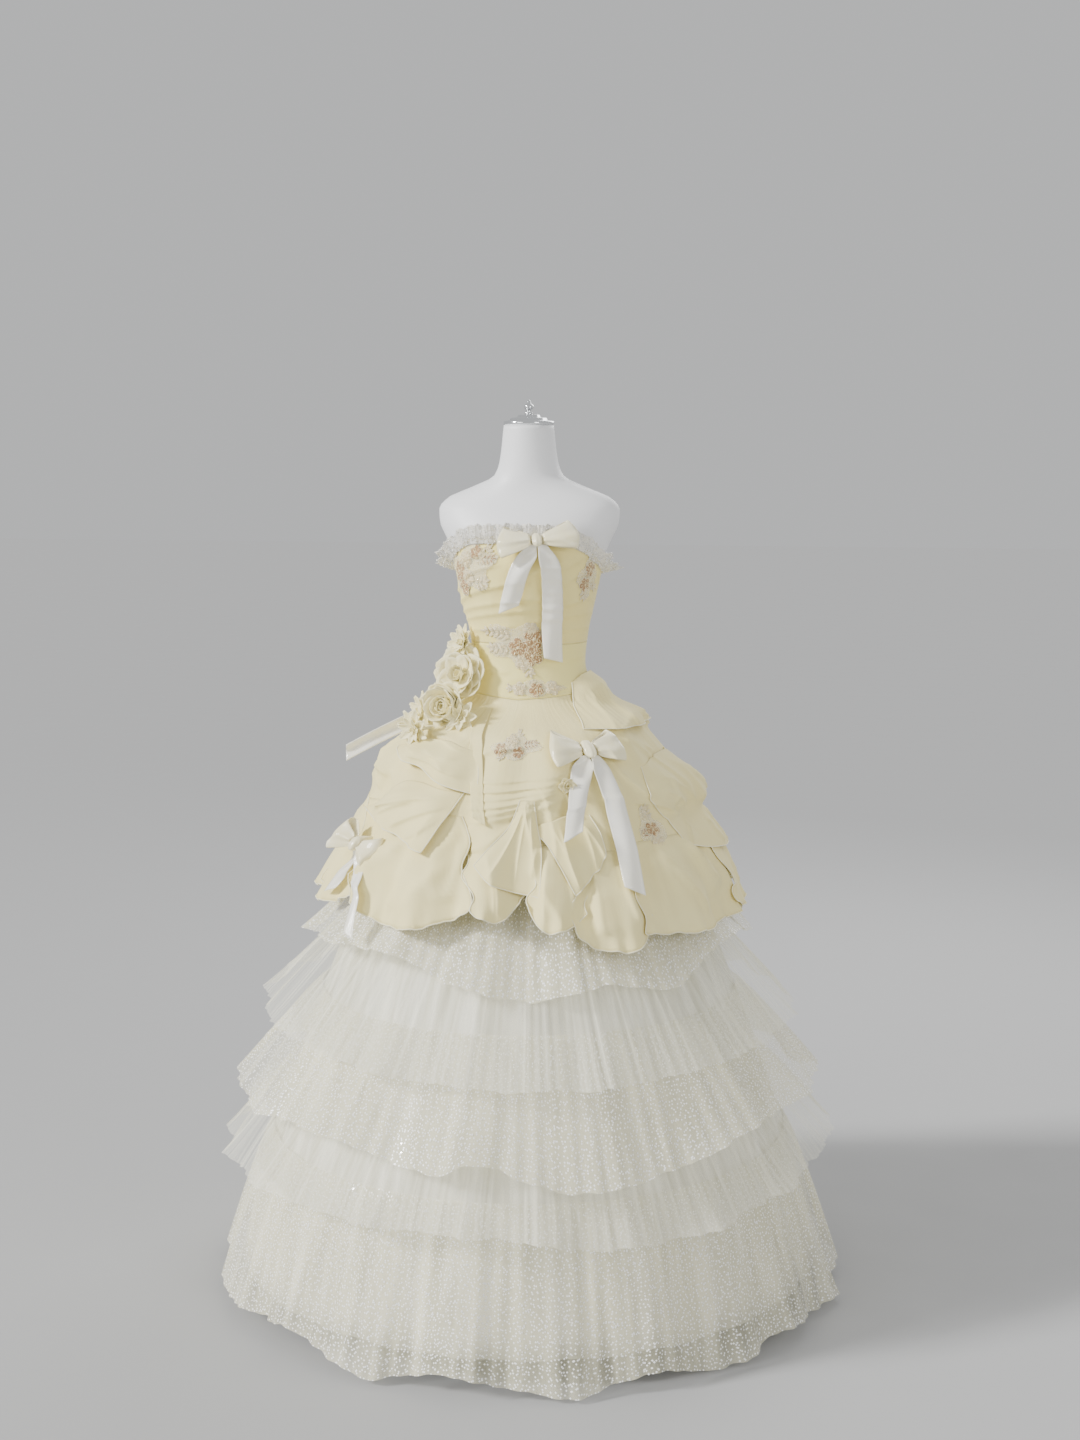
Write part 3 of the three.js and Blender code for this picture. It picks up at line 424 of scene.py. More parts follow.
BODICE_CLOTH = plain_cloth("bodice_chiffon", (0.97, 0.86, 0.38), (0.92, 0.78, 0.30), 0.0006, 0.75, 0.25)
BASQUE_CLOTH = plain_cloth("basque_cloth", (0.98, 0.88, 0.38), (0.95, 0.84, 0.33), 0.0006, 0.7, 0.25, (20, 6))
CHIFFON = plain_cloth("cream_chiffon", (0.95, 0.86, 0.46), (0.89, 0.77, 0.35), 0.0007, 0.75, 0.22)
HEM_THREAD = plain_cloth("hem_thread", (0.95, 0.91, 0.66), (0.90, 0.84, 0.56), 0.0008, 0.6, 0.3)
# In each satin the first colour is painted highlight and the second painted shade, mixed in streaks.
RIBBON_SATIN = satin_cloth("ribbon_satin", (1.0, 0.95, 0.72), (0.93, 0.85, 0.54), 0.2, (24, 18))
WHITE_RIBBON = satin_cloth("ribbon_satin_pale", (1.0, 0.98, 0.90), (0.96, 0.93, 0.80), 0.16, (24, 14))
SATIN = satin_cloth("underskirt_satin", (0.99, 0.97, 0.84), (0.70, 0.68, 0.54), 0.3, (34, 4))
GLITTER = tulle_cloth("glitter_tulle", (0.90, 0.86, 0.62), 0.36, (26, 3), dots=0.0074)
SHEER = tulle_cloth("sheer_tulle", (0.94, 0.92, 0.76), 0.23, (110, 2))
LACE_CLOTH = lace_cloth("beaded_lace", (0.86, 0.83, 0.74), 0.0035)
MOTIF_NET = tulle_cloth("motif_net", (0.96, 0.88, 0.56), 0.14, (60, 60), dots=0.003)
WHITE_THREAD = thread_work("white_embroidery", (1.0, 0.93, 0.66), (0.78, 0.62, 0.34))
ROSE_THREAD = thread_work("rose_embroidery", (0.60, 0.37, 0.18), (0.36, 0.19, 0.08))
CORD_THREAD = thread_work("outline_cord", (1.0, 0.95, 0.74), (0.86, 0.76, 0.50))
PETAL_CLOTH = plain_cloth("petal_organza", (1.0, 0.94, 0.62), (0.96, 0.87, 0.50), 0.0006, 0.7, 0.3, (40, 12))
print("cloth materials:", len(bpy.data.materials))

# %% [markdown]
# ## Hard finishes
# The form is white moulded plastic with a faint orange-peel surface; its cap and pole are polished metal.
# Beads are small glass pearls and sequins are thin clear plastic, so both are glossy.

# %% Hard materials
def hard_finish(name, colour, roughness, grain, strength, **constants):
    material, tree, shader = new_material(name, colour, roughness, **constants)
    place = step(tree, "ShaderNodeTexCoord").outputs["Object"]
    noise = step(tree, "ShaderNodeTexNoise", {"Vector": place, "Scale": grain, "Detail": 3.0}).outputs["Fac"]
    rough = ranged(tree, noise, 0.0, 1.0, roughness * 0.8, roughness * 1.25)
    tree.links.new(rough, shader.inputs["Roughness"])
    bumped(tree, shader, noise, strength, 0.0003)
    return material


FORM_WHITE = hard_finish("form_white", (0.86, 0.86, 0.86), 0.45, 320, 0.15)
CHROME = hard_finish("chrome", (0.80, 0.81, 0.82), 0.14, 40, 0.03, Metallic=1.0)
PEARL = hard_finish("glass_pearl", (0.88, 0.87, 0.82), 0.18, 900, 0.05, Coat_Weight=0.5)
AMBER_BEAD = hard_finish("amber_bead", (0.92, 0.80, 0.48), 0.2, 900, 0.05, Coat_Weight=0.5)
SEQUIN = hard_finish("clear_sequin", (0.93, 0.93, 0.90), 0.12, 700, 0.05, Coat_Weight=0.8)
print("hard materials:", [material.name for material in (FORM_WHITE, CHROME, PEARL, AMBER_BEAD, SEQUIN)])

# %% [markdown]
# ## Geometry Nodes that sew
# Three small trees do the repeated work: a thread that follows an edge, stitches laid end to end along a
# seam, and beads strewn over a surface. Each has its sizes as named inputs, and the beads a fixed seed.

# %% Trees for threads, stitches and beads
SOCKET_KINDS = {float: "NodeSocketFloat", int: "NodeSocketInt", type(None): "NodeSocketObject"}


def new_tree(name, inputs):
    """Empty tree with its inputs, each of the kind of its starting value."""
    tree = bpy.data.node_groups.new(name, "GeometryNodeTree")
    tree.interface.new_socket("Geometry", in_out="INPUT", socket_type="NodeSocketGeometry")
    for label, value in inputs.items():
        kind = SOCKET_KINDS[type(value)]
        tree.interface.new_socket(label, in_out="INPUT", socket_type=kind).default_value = value
    tree.interface.new_socket("Geometry", in_out="OUTPUT", socket_type="NodeSocketGeometry")
    return tree, tree.nodes.new("NodeGroupInput").outputs


def close_tree(tree, geometry, material):
    solid = step(tree, "GeometryNodeRealizeInstances", {0: geometry})
    painted = step(tree, "GeometryNodeSetMaterial", {"Geometry": solid.outputs[0], "Material": material})
    smooth_faces = step(tree, "GeometryNodeSetShadeSmooth", {"Geometry": painted.outputs[0]})
    step(tree, "NodeGroupOutput", {0: smooth_faces.outputs[0]})


def thread_tree(material):
    tree, given = new_tree("thread_along_edge", {"Thread radius": 0.001})
    line = step(tree, "GeometryNodeMeshToCurve", {"Mesh": given["Geometry"]})
    section = step(tree, "GeometryNodeCurvePrimitiveCircle", {
        "Resolution": 6, "Radius": given["Thread radius"]})
    tube = step(tree, "GeometryNodeCurveToMesh", {
        "Curve": line.outputs[0], "Profile Curve": section.outputs[0], "Fill Caps": True})
    close_tree(tree, tube.outputs[0], material)
    return tree


def stitch_tree(material):
    tree, given = new_tree("stitches_along_seam", {
        "Stitch pitch": 0.004, "Stitch length": 0.003, "Thread radius": 0.0003})
    line = step(tree, "GeometryNodeMeshToCurve", {"Mesh": given["Geometry"]})
    even = step(tree, "GeometryNodeResampleCurve", {
        "Curve": line.outputs[0], "Length": given["Stitch pitch"]}, mode="LENGTH")
    tangent = step(tree, "GeometryNodeInputTangent")
    turn = step(tree, "FunctionNodeAlignRotationToVector", {"Vector": tangent.outputs[0]}, axis="Z")
    stitch = step(tree, "GeometryNodeMeshCylinder", {
        "Vertices": 5, "Radius": given["Thread radius"], "Depth": given["Stitch length"]})
    laid = step(tree, "GeometryNodeInstanceOnPoints", {
        "Points": even.outputs[0], "Instance": stitch.outputs[0], "Rotation": turn.outputs[0]})
    close_tree(tree, laid.outputs[0], material)
    return tree


def strewn_tree(name, material, flat_shape):
    tree, given = new_tree(name, {
        "Count per square metre": 5000.0, "Size": 0.001, "Lift": 0.0004, "Seed": 1})
    spots = step(tree, "GeometryNodeDistributePointsOnFaces", {
        "Mesh": given["Geometry"], "Density": given["Count per square metre"], "Seed": given["Seed"]})
    shift = step(tree, "ShaderNodeVectorMath", {
        0: spots.outputs["Normal"], "Scale": given["Lift"]}, operation="SCALE")
    raised = step(tree, "GeometryNodeSetPosition", {"Geometry": spots.outputs[0], "Offset": shift.outputs[0]})
    if flat_shape:
        one = step(tree, "GeometryNodeMeshCircle", {"Vertices": 6, "Radius": 1.0}, fill_type="TRIANGLE_FAN")
    else:
        one = step(tree, "GeometryNodeMeshIcoSphere", {"Radius": 1.0, "Subdivisions": 1})
    uneven = step(tree, "FunctionNodeRandomValue", {2: 0.7, 3: 1.25, "Seed": given["Seed"]})
    laid = step(tree, "GeometryNodeInstanceOnPoints", {
        "Points": raised.outputs[0], "Instance": one.outputs[0], "Rotation": spots.outputs["Rotation"],
        "Scale": maths(tree, "MULTIPLY", uneven.outputs[1], given["Size"])})
    close_tree(tree, laid.outputs[0], material)
    return tree


def grow(tree, source, name, values):
    """Runs a tree on a source object and keeps the result as a plain mesh."""
    modifier = source.modifiers.new("grow", "NODES")
    modifier.node_group = tree
    sockets = {item.name: item.identifier for item in tree.interface.items_tree if item.in_out == "INPUT"}
    for label, value in values.items():
        modifier[sockets[label]] = value
    evaluated = source.evaluated_get(bpy.context.evaluated_depsgraph_get())
    mesh = bpy.data.meshes.new_from_object(evaluated)
    source.modifiers.remove(modifier)
    piece = bpy.data.objects.new(name, mesh)
    mesh.name = name
    bpy.context.scene.collection.objects.link(piece)
    return piece


def path_object(paths):
    """Loose edges along one or more lines of points; each line is (points, closed)."""
    points, edges = [], []
    for line, closed in paths:
        first = len(points)
        points.extend(np.asarray(line).reshape(-1, 3).tolist())
        last = len(points) - 1
        edges.extend([(i, i + 1) for i in range(first, last)])
        if closed:
            edges.append((last, first))
    mesh = bpy.data.meshes.new("path")
    mesh.from_pydata(points, edges, [])
    carrier = bpy.data.objects.new("path", mesh)
    bpy.context.scene.collection.objects.link(carrier)
    return carrier


def sewn_line(tree, name, paths, slot, values):
    carrier = path_object(paths)
    piece = grow(tree, carrier, name, values)
    bpy.data.objects.remove(carrier)
    return on_gown(piece, slot)


ROLLED_HEM = thread_tree(HEM_THREAD)
OUTLINE_CORD = thread_tree(CORD_THREAD)
SEAM_STITCHES = stitch_tree(HEM_THREAD)
STREWN_BEADS = strewn_tree("strewn_beads", PEARL, False)
STREWN_AMBER = strewn_tree("strewn_amber_beads", AMBER_BEAD, False)
STREWN_SEQUINS = strewn_tree("strewn_sequins", SEQUIN, True)
print("node trees:", [tree.name for tree in bpy.data.node_groups])

# %% [markdown]
# ## The dress form
# The body is a stack of ovals, wider at the hip and bust, that closes over sloping shoulders into the neck.
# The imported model's torso has flat facets, so a finer one with the same measurements stands in for it.

# %% Body measurements and torso
BODY = np.array([
    # z, half width, front depth, back depth
    (905, 146, 102, 112), (1000, 156, 108, 120), (1080, 145, 99, 110), (1140, 121, 88, 92),
    (1203, 103, 81, 78), (1260, 109, 88, 81), (1320, 122, 106, 87), (1385, 137, 121, 94),
    (1430, 156, 108, 97), (1466, 172, 91, 94), (1490, 174, 76, 86), (1510, 158, 64, 74),
    (1530, 112, 58, 64), (1552, 66, 56, 56), (1580, 55, 54, 52), (1646, 47, 50, 44),
])
FORM_BOTTOM, NECK_TOP, WAIST_SEAM = 905, 1646, 1240


def body_radius(angle, z):
    """Distance from the form's upright middle line to its surface."""
    turn = np.radians(angle)
    width = curve(BODY[:, [0, 1]], z)
    depth = np.where(np.cos(turn) > 0, curve(BODY[:, [0, 2]], z), curve(BODY[:, [0, 3]], z))
    return 1 / np.hypot(np.sin(turn) / width, np.cos(turn) / depth)


def capped(grid):
    """A wrapped grid as a solid, with a fan over each end."""
    rows, columns = grid.shape[:2]
    faces = cells(rows, columns, True)[0].tolist()
    points = grid.reshape(-1, 3).tolist() + [grid[0].mean(0).tolist(), grid[-1].mean(0).tolist()]
    top, low = rows * columns, rows * columns + 1
    for j in range(columns):
        k = (j + 1) % columns
        faces.append((top, j, k))
        faces.append((low, (rows - 1) * columns + k, (rows - 1) * columns + j))
    return points, faces


def turned(name, profile, base, material, columns=64):
    """Turned piece from radius and height pairs, from the top down."""
    profile = np.array(profile, float)
    angle = np.arange(columns) * 360 / columns
    grid = around(angle[None, :], profile[:, :1], profile[:, 1:] + base)
    return build(name, *capped(grid), materials=[material])


share, down = uv_grid(81, 96)
angle = lerp(-180, 180, share)[:, :-1]
z = lerp(NECK_TOP, FORM_BOTTOM, down)[:, :-1]
torso = build("form_body", *capped(around(angle, body_radius(angle, z), z)), materials=[FORM_WHITE])
on_gown(torso, "form", "form_torso")

CAP = [(20, 19), (20.5, 18.6), (22, 15), (33, 13.4), (34, 13), (36, 9), (46, 7.6), (47, 7), (48, 5), (48, 3),
       (46.5, 0.4), (46, 0)]
FINIAL = [(0.6, 28), (1.5, 27), (2.6, 25.5), (4, 24), (4, 21), (7, 19), (9, 17), (9.6, 14.5), (9, 12), (6, 9),
          (4, 7), (8, 3), (7.6, 1), (7, 0)]
CAP_BASE = NECK_TOP + 0.3
on_gown(turned("cap", CAP, CAP_BASE, CHROME), "chrome", "form_cap")
on_gown(turned("finial", FINIAL, CAP_BASE + 19.3, CHROME), "chrome", "form_finial")
for node, finish in (("form_pole", CHROME), ("form_base", FORM_WHITE)):
    frame["nodes"][node].data.materials.clear()
    frame["nodes"][node].data.materials.append(finish)
print("form: neck top", NECK_TOP * MM, "m, torso faces", len(torso.data.polygons))

# %% [markdown]
# ## Where cloth lies
# The bodice follows the body a few millimetres off it. Its pleats are laid one by one, as in the picture:
# each row gives where a fold starts and ends, how far it bows, how wide its soft side is and how high it
# stands.
# One side of a fold falls off steeply, which is what makes it read as a pleat and not as a wave.

# %% Bodice surface
CLOTH, RIBBON, LACE, BODY_GAP, GRIP_GAP, LIE = 1.8, 1.6, 1.2, 3.5, 1.8, 0.6
# Angle from the front, the same to both sides, and height.
TOP_EDGE = [(0, 1444), (40, 1440), (70, 1406), (90, 1386), (135, 1374), (180, 1368)]
BASQUE_EDGE = [(0, 1136), (50, 1144), (100, 1156), (180, 1150)]
BODICE_PLEATS = [
    # angle, z, angle, z, bow, width, height
    (-88, 1300, 10, 1358, 8, 16, 4.2), (-4, 1352, 78, 1420, 6, 16, 3.6), (-90, 1286, -6, 1320, 4, 12, 3.4),
    (-20, 1316, 40, 1326, 2, 12, 3.2), (-90, 1272, 30, 1306, 6, 10, 3.0), (26, 1330, 70, 1380, 5, 15, 4.0),
    (24, 1352, 66, 1408, 5, 14, 3.6), (20, 1302, 88, 1326, 3, 13, 3.4), (-70, 1344, -8, 1392, 6, 15, 3.2),
    (-80, 1262, 4, 1276, -3, 12, 2.6), (12, 1282, 89, 1296, 3, 13, 3.0), (30, 1262, 89, 1268, 2, 12, 2.6),
    (-60, 1380, -20, 1412, 5, 14, 2.8), (-88, 1326, -40, 1352, 4, 14, 3.2), (50, 1310, 89, 1346, 3, 12, 3.0),
    (92, 1352, 176, 1332, -4, 16, 3.2), (94, 1322, 177, 1306, -4, 15, 3.2),
    (92, 1292, 176, 1282, -3, 14, 3.0), (98, 1264, 177, 1260, 2, 12, 2.6),
    (-176, 1336, -92, 1350, -4, 16, 3.2), (-177, 1308, -94, 1318, -4, 15, 3.2),
    (-176, 1280, -92, 1290, -3, 14, 3.0), (-177, 1258, -96, 1264, 2, 12, 2.6),
]


# A fold's steep side is this share of its soft side, and each end fades over this share of its length.
STEEP, FADE = 0.22, 0.22


def creased(angle, z, rows, reach):
    """Height of listed folds; reach is the radius at which angles are turned into lengths."""
    total = 0
    for a0, z0, a1, z1, bow, width, height in rows:
        span, drop = math.radians(a1 - a0) * reach, z1 - z0
        length = math.hypot(span, drop)
        x, y = np.radians(wrapped(angle - a0)) * reach, z - z0
        share = (x * span + y * drop) / length**2
        held = np.clip(share, 0, 1)
        off = (x * drop - y * span) / length + bow * 4 * held * (1 - held)
        soft_side = np.exp(np.minimum(off, 0) / width)
        steep_side = np.exp(-np.maximum(off, 0) / (STEEP * width))
        ends = smooth(share / FADE) * smooth((1 - share) / FADE)
        total = total + height * np.where(off < 0, soft_side, steep_side) * ends
    return total


def top_edge(angle):
    return curve(TOP_EDGE, np.abs(wrapped(angle)))


def basque_edge(angle):
    return curve(BASQUE_EDGE, np.abs(wrapped(angle)))


# How far each part lies from the middle, for turning angles into lengths.
BODICE_REACH, BASQUE_REACH, SKIRT_REACH, FLAP_REACH, LOBE_REACH = 115, 110, 285, 300, 330
PLEAT_RISE = 1.35


def bodice_radius(angle, z):
    below = top_edge(angle) - z
    gap = lerp(GRIP_GAP, BODY_GAP, smooth(below / 9))
    calm = smooth((z - WAIST_SEAM) / 10) * smooth(below / 14)
    pleats = PLEAT_RISE * creased(angle, z, BODICE_PLEATS, BODICE_REACH)
    return body_radius(angle, z) + gap + CLOTH + pleats * calm


BASQUE_FOLDS = [
    (-60, 1192, -8, 1187, -3, 9, 2.4), (-20, 1168, 30, 1176, 3, 10, 1.6),
    (100, 1200, 170, 1204, 3, 11, 1.8), (-170, 1198, -100, 1206, 3, 11, 1.8),
    (40, 1204, 88, 1212, 3, 12, 2.0), (-88, 1216, -50, 1206, 3, 10, 1.6),
]


def basque_radius(angle, z):
    calm = smooth((WAIST_SEAM - z) / 8) * smooth((z - basque_edge(angle)) / 10)
    folds = creased(angle, z, BASQUE_FOLDS, BASQUE_REACH)
    return body_radius(angle, z) + BODY_GAP + CLOTH + folds * calm


print("bodice pleats:", len(BODICE_PLEATS), "basque folds:", len(BASQUE_FOLDS))

# %% [markdown]
# ## The picked-up overskirt
# The overskirt is one wide cloth, gathered into the basque and caught up at points, so that it puffs out
# between them and falls in soft lobes below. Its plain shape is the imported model's; the puffs, the swags
# that run to the hip bow and the long folds of the hem are rows in tables. The hidden sides carry folds of
# the same kind, turned round the body.

# %% Overskirt surface
# Drop below the edge of the basque, and radius.
OVERSKIRT = [(0, 127), (22, 152), (50, 189), (100, 236), (150, 269), (205, 301), (260, 328), (320, 357),
             (380, 384), (420, 397)]
PUFFS = [
    # angle, z, wide, tall, out
    (-66, 1030, 26, 46, 22), (-104, 985, 24, 50, 16), (-28, 985, 18, 40, 12), (62, 1000, 20, 48, 14),
    (98, 975, 22, 44, 17), (140, 1010, 22, 48, 18), (178, 980, 22, 46, 20), (-142, 1020, 20, 46, 18),
    (90, 850, 20, 60, 12),
]
OVERSKIRT_HEM = [
    # angle, z
    (-180, 762), (-158, 790), (-132, 752), (-108, 788), (-76, 770), (-44, 796), (-22, 760),
    (-4, 804), (3, 784), (12, 812), (21, 770), (27, 786), (36, 734), (47, 768), (58, 748),
    (78, 768), (95, 746), (124, 786), (150, 750), (180, 762),
]
SWAG_TOP = 962
FRONT_FOLDS = [
    # angle, z, angle, z, bow, width, height
    (-62, 1082, -14, 1050, 10, 24, 12), (-14, 1046, 12, 1064, 6, 18, 8), (-15, 1005, 32, 1022, -3, 12, 6),
    (-14, 990, 30, 1013, -5, 10, 8), (-13, 976, 28, 1005, -6, 12, 7), (-12, 962, 26, 997, -6, 10, 9),
    (-9, 950, 19, 984, -5, 11, 8), (-12, 936, 26, 984, -6, 30, 10), (46, 1070, 62, 962, -8, 16, 8),
    (68, 1066, 82, 962, 8, 18, 8), (50, 964, 72, 930, 10, 20, 8), (-66, 1088, -70, 1004, -8, 14, 9),
    (-58, 1082, -64, 986, -10, 16, 9), (-76, 1014, -60, 962, 6, 16, 8), (-42, 1086, -12, 1060, 5, 8, -8),
    (-4, 1100, 20, 1084, -5, 16, 4), (-60, 1110, -30, 1088, 6, 18, 7),
    (11, 980, 15, 900, -6, 14, 7), (15, 906, 13, 852, -3, 14, 6), (10, 960, -8, 892, 8, 16, 7),
    (-20, 955, -25, 878, -5, 16, 8), (-10, 934, -6, 884, 5, 13, 6), (17, 1000, 20, 880, 6, 12, 6),
    (24, 1000, 30, 940, 5, 12, 6), (29, 946, 36, 862, 8, 16, 8), (13, 856, 21, 766, 5, 20, 8),
    (30, 836, 32, 750, -5, 18, 8), (64, 930, 71, 774, 12, 34, 10), (45, 850, 48, 772, 5, 18, 7),
    (56, 930, 58, 790, -6, 24, 7), (80, 962, 54, 934, 14, 22, 9), (92, 930, 96, 850, 8, 22, 8),
    (88, 1010, 102, 950, -8, 20, 8), (35, 1152, 60, 1116, 6, 12, 3), (88, 1122, 44, 1082, 12, 18, 6),
    (60, 1070, 84, 1034, 8, 20, 6), (-26, 914, -30, 826, 6, 26, 7), (-17, 892, -12, 800, -6, 24, 7),
    (-42, 880, -40, 798, 6, 22, 7), (-1, 900, 3, 788, 6, 20, 8), (-58, 1010, -44, 940, 10, 22, 8),
    (-74, 1060, -56, 990, -8, 20, 7), (-66, 960, -76, 880, 8, 24, 9), (-50, 912, -60, 830, -6, 20, 7),
    (-84, 1040, -92, 960, 8, 22, 8), (-72, 900, -70, 786, 6, 24, 8), (50, 1010, 38, 976, 6, 14, 5),
]
SIDE_FOLDS = [
    # turn, mirrored or not, rise, stretch
    (-84, 1.0, 3, 4), (96, -1.0, -7, 2), (156, 1.0, -4, -5), (-136, -1.0, 6, 3), (-178, -1.0, -9, 0),
]
SIDE_RANGE = (100, 260)


def hidden_folds():
    """Folds for the sides and back: the same rows turned round the body, every second one each time."""
    rows = []
    for number, (shift, mirror, rise, stretch) in enumerate(SIDE_FOLDS):
        for a0, z0, a1, z1, bow, width, height in FRONT_FOLDS[number % 2::2]:
            start, end = mirror * a0 + shift, mirror * a1 + shift
            middle = ((start + end) / 2) % 360
            if SIDE_RANGE[0] < middle < SIDE_RANGE[1]:
                low = z1 + rise - stretch
                rows.append((start, z0 + rise, end, low, mirror * bow, width * 1.1, 1.25 * height))
    return rows


SKIRT_FOLDS = FRONT_FOLDS + hidden_folds()


def plain_overskirt(angle, z):
    """The overskirt before it is pleated: its outline, its puffs and soft waves."""
    drop = basque_edge(angle) - z
    fall = smooth(drop / 60)
    radius = lerp(body_radius(angle, z) + BODY_GAP + CLOTH, curve(OVERSKIRT, drop), fall)
    for middle, height, wide, tall, out in PUFFS:
        away = (wrapped(angle - middle) / wide) ** 2 + ((z - height) / tall) ** 2
        radius = radius + fall * out * np.exp(-away)
    turn = 16 * angle + 40 * np.sin(np.radians(2 * angle))
    return radius + 5 * np.cos(np.radians(turn)) * smooth(drop / 120)


def overskirt_radius(angle, z):
    angle, z = np.broadcast_arrays(np.asarray(angle, float), np.asarray(z, float))
    turn = np.radians(angle)
    hem = curve(OVERSKIRT_HEM, wrapped(angle))
    low = np.clip((SWAG_TOP - z) / (SWAG_TOP - hem), 0, 1.05)
    swag = np.cos(18 * turn + 0.9 * np.sin(3 * turn)) * (0.8 + 0.2 * np.sin(5 * turn + 1))
    drop = basque_edge(angle) - z
    fullness = 0.1 + 0.9 * smooth((np.abs(wrapped(angle - 10)) - 30) / 30)
    gathers = 2 * ripple(turn, drop / 90, (58, 77, 97), 3)
    gathers = gathers * smooth(drop / 8) * np.exp(-np.maximum(drop, 0) / 60)
    folds = creased(angle, z, SKIRT_FOLDS, SKIRT_REACH) * smooth(drop / 40)
    return plain_overskirt(angle, z) + 11 * swag * low + fullness * gathers + folds


def skin(angle, z):
    """Outside of the gown where trimmings lie on it."""
    angle, z = np.broadcast_arrays(np.asarray(angle, float), np.asarray(z, float))
    angle = wrapped(angle)
    lower = np.where(z > basque_edge(angle), basque_radius(angle, z), overskirt_radius(angle, z))
    return np.where(z > WAIST_SEAM, bodice_radius(angle, z), lower)


print("overskirt folds:", len(SKIRT_FOLDS))

# %% [markdown]
# ## Satin underskirt
# A wide satin skirt carries everything. Its folds only go inwards from the imported model's cone, so the
# tulle that is sewn on it always lies outside. Fine lengthwise streaks come from the material: painted
# highlight and painted shade in its colour, with a matching bump.

# %% Satin underskirt
# Height and radius.
UNDERSKIRT = [(56, 562), (200, 530), (400, 464), (600, 390), (800, 306), (950, 234), (1050, 178), (1118, 131)]
UNDERSKIRT_TOP, UNDERSKIRT_HEM = 1118, 56


def satin_radius(angle, z):
    """Outside of the satin without its folds."""
    share = (UNDERSKIRT_TOP - z) / (UNDERSKIRT_TOP - UNDERSKIRT_HEM)
    return lerp(body_radius(angle, z) + 1 + CLOTH, curve(UNDERSKIRT, z), smooth(share / 0.12))


def ring_angles(share):
    return lerp(-180, 180, share)[:, :-1]


def tube(name, grid, thickness, flat, material):
    """Piece that goes all round, as one layer where thickness is 0."""
    if thickness:
        points, faces, uv = shell(grid, thickness * MM, True)
    else:
        faces, uv = cells(*grid.shape[:2], True)
        points = grid
    return build(name, points, faces, uv, flat, [material])


share, down = uv_grid(321, 28)
angle, down = ring_angles(share), down[:, :-1]
z = lerp(UNDERSKIRT_TOP, UNDERSKIRT_HEM, down)
turn = np.radians(angle)
gores = 7 * (0.5 - 0.5 * np.cos(26 * turn + 0.8 * np.sin(3 * turn)))
creases = 1.6 * (1 + ripple(turn, down, (61, 83, 118), 5)) / 2
radius = satin_radius(angle, z) - (gores + creases) * smooth(down * 2.2)
satin = tube("satin_skirt", around(angle, radius, z), 0.8, (3.55, 1.18), SATIN)
on_gown(satin, "satin", "satin_underskirt")
print("satin underskirt, area one side", round(area_of(satin) / 2, 2), "m2")

# %% [markdown]
# ## Five tiers of tulle
# Each tier is a strip gathered to the satin and left free below, so it stands off like a lampshade. The
# glitter tiers have softer folds and a scalloped edge; the sheer ones are crowded with small gathers. The
# gathers are whole numbers of waves, so that each tube closes without a seam.

# %% Tulle tiers
TIERS = {
    # name: top, hem radius, flare, waves, depth, phase, columns, fine gathers, flat size, hem
    "tier_1_glitter": (862, 424, 1.25, 14, 11, 0.4, 560, (37, 53, 71, 97), (2.9, 0.20), [
        (-180, 690), (-150, 660), (-120, 706), (-90, 672), (-58, 704), (-24, 716), (-6, 674), (12, 650),
        (34, 674),
        (47, 651), (74, 718), (104, 680), (130, 704), (156, 662), (180, 690)]),
    "tier_2_sheer": (722, 508, 0.95, 22, 7, 1.1, 840, (61, 83, 109, 151), (3.3, 0.23), [
        (-180, 540), (-90, 556), (18, 516), (90, 540), (180, 540)]),
    "tier_3_glitter": (582, 556, 0.85, 14, 13, 2.2, 640, (37, 53, 71, 97), (3.6, 0.23), [
        (-180, 380), (-150, 410), (-122, 372), (-92, 412), (-60, 388), (-30, 414), (-4, 378), (2, 400),
        (22, 350),
        (42, 376), (60, 416), (92, 420), (118, 376), (150, 408), (180, 380)]),
    "tier_4_sheer": (434, 582, 0.85, 22, 7, 0.2, 840, (67, 89, 113, 157), (3.7, 0.19), [
        (-180, 280), (-90, 276), (4, 284), (28, 256), (90, 306), (180, 280)]),
    "tier_5_glitter": (312, 597, 0.8, 22, 10, 2.9, 720, (43, 59, 83, 107), (3.8, 0.30), [
        (-180, 22), (-150, 44), (-120, 14), (-88, 34), (-62, 18), (-31, 52), (-16, 12), (-2, 42), (19, 8),
        (33, 34),
        (48, 10), (60, 32), (84, 12), (112, 40), (146, 14), (180, 22)]),
}
SEQUINS_PER_M2 = 3200
tiers = {}
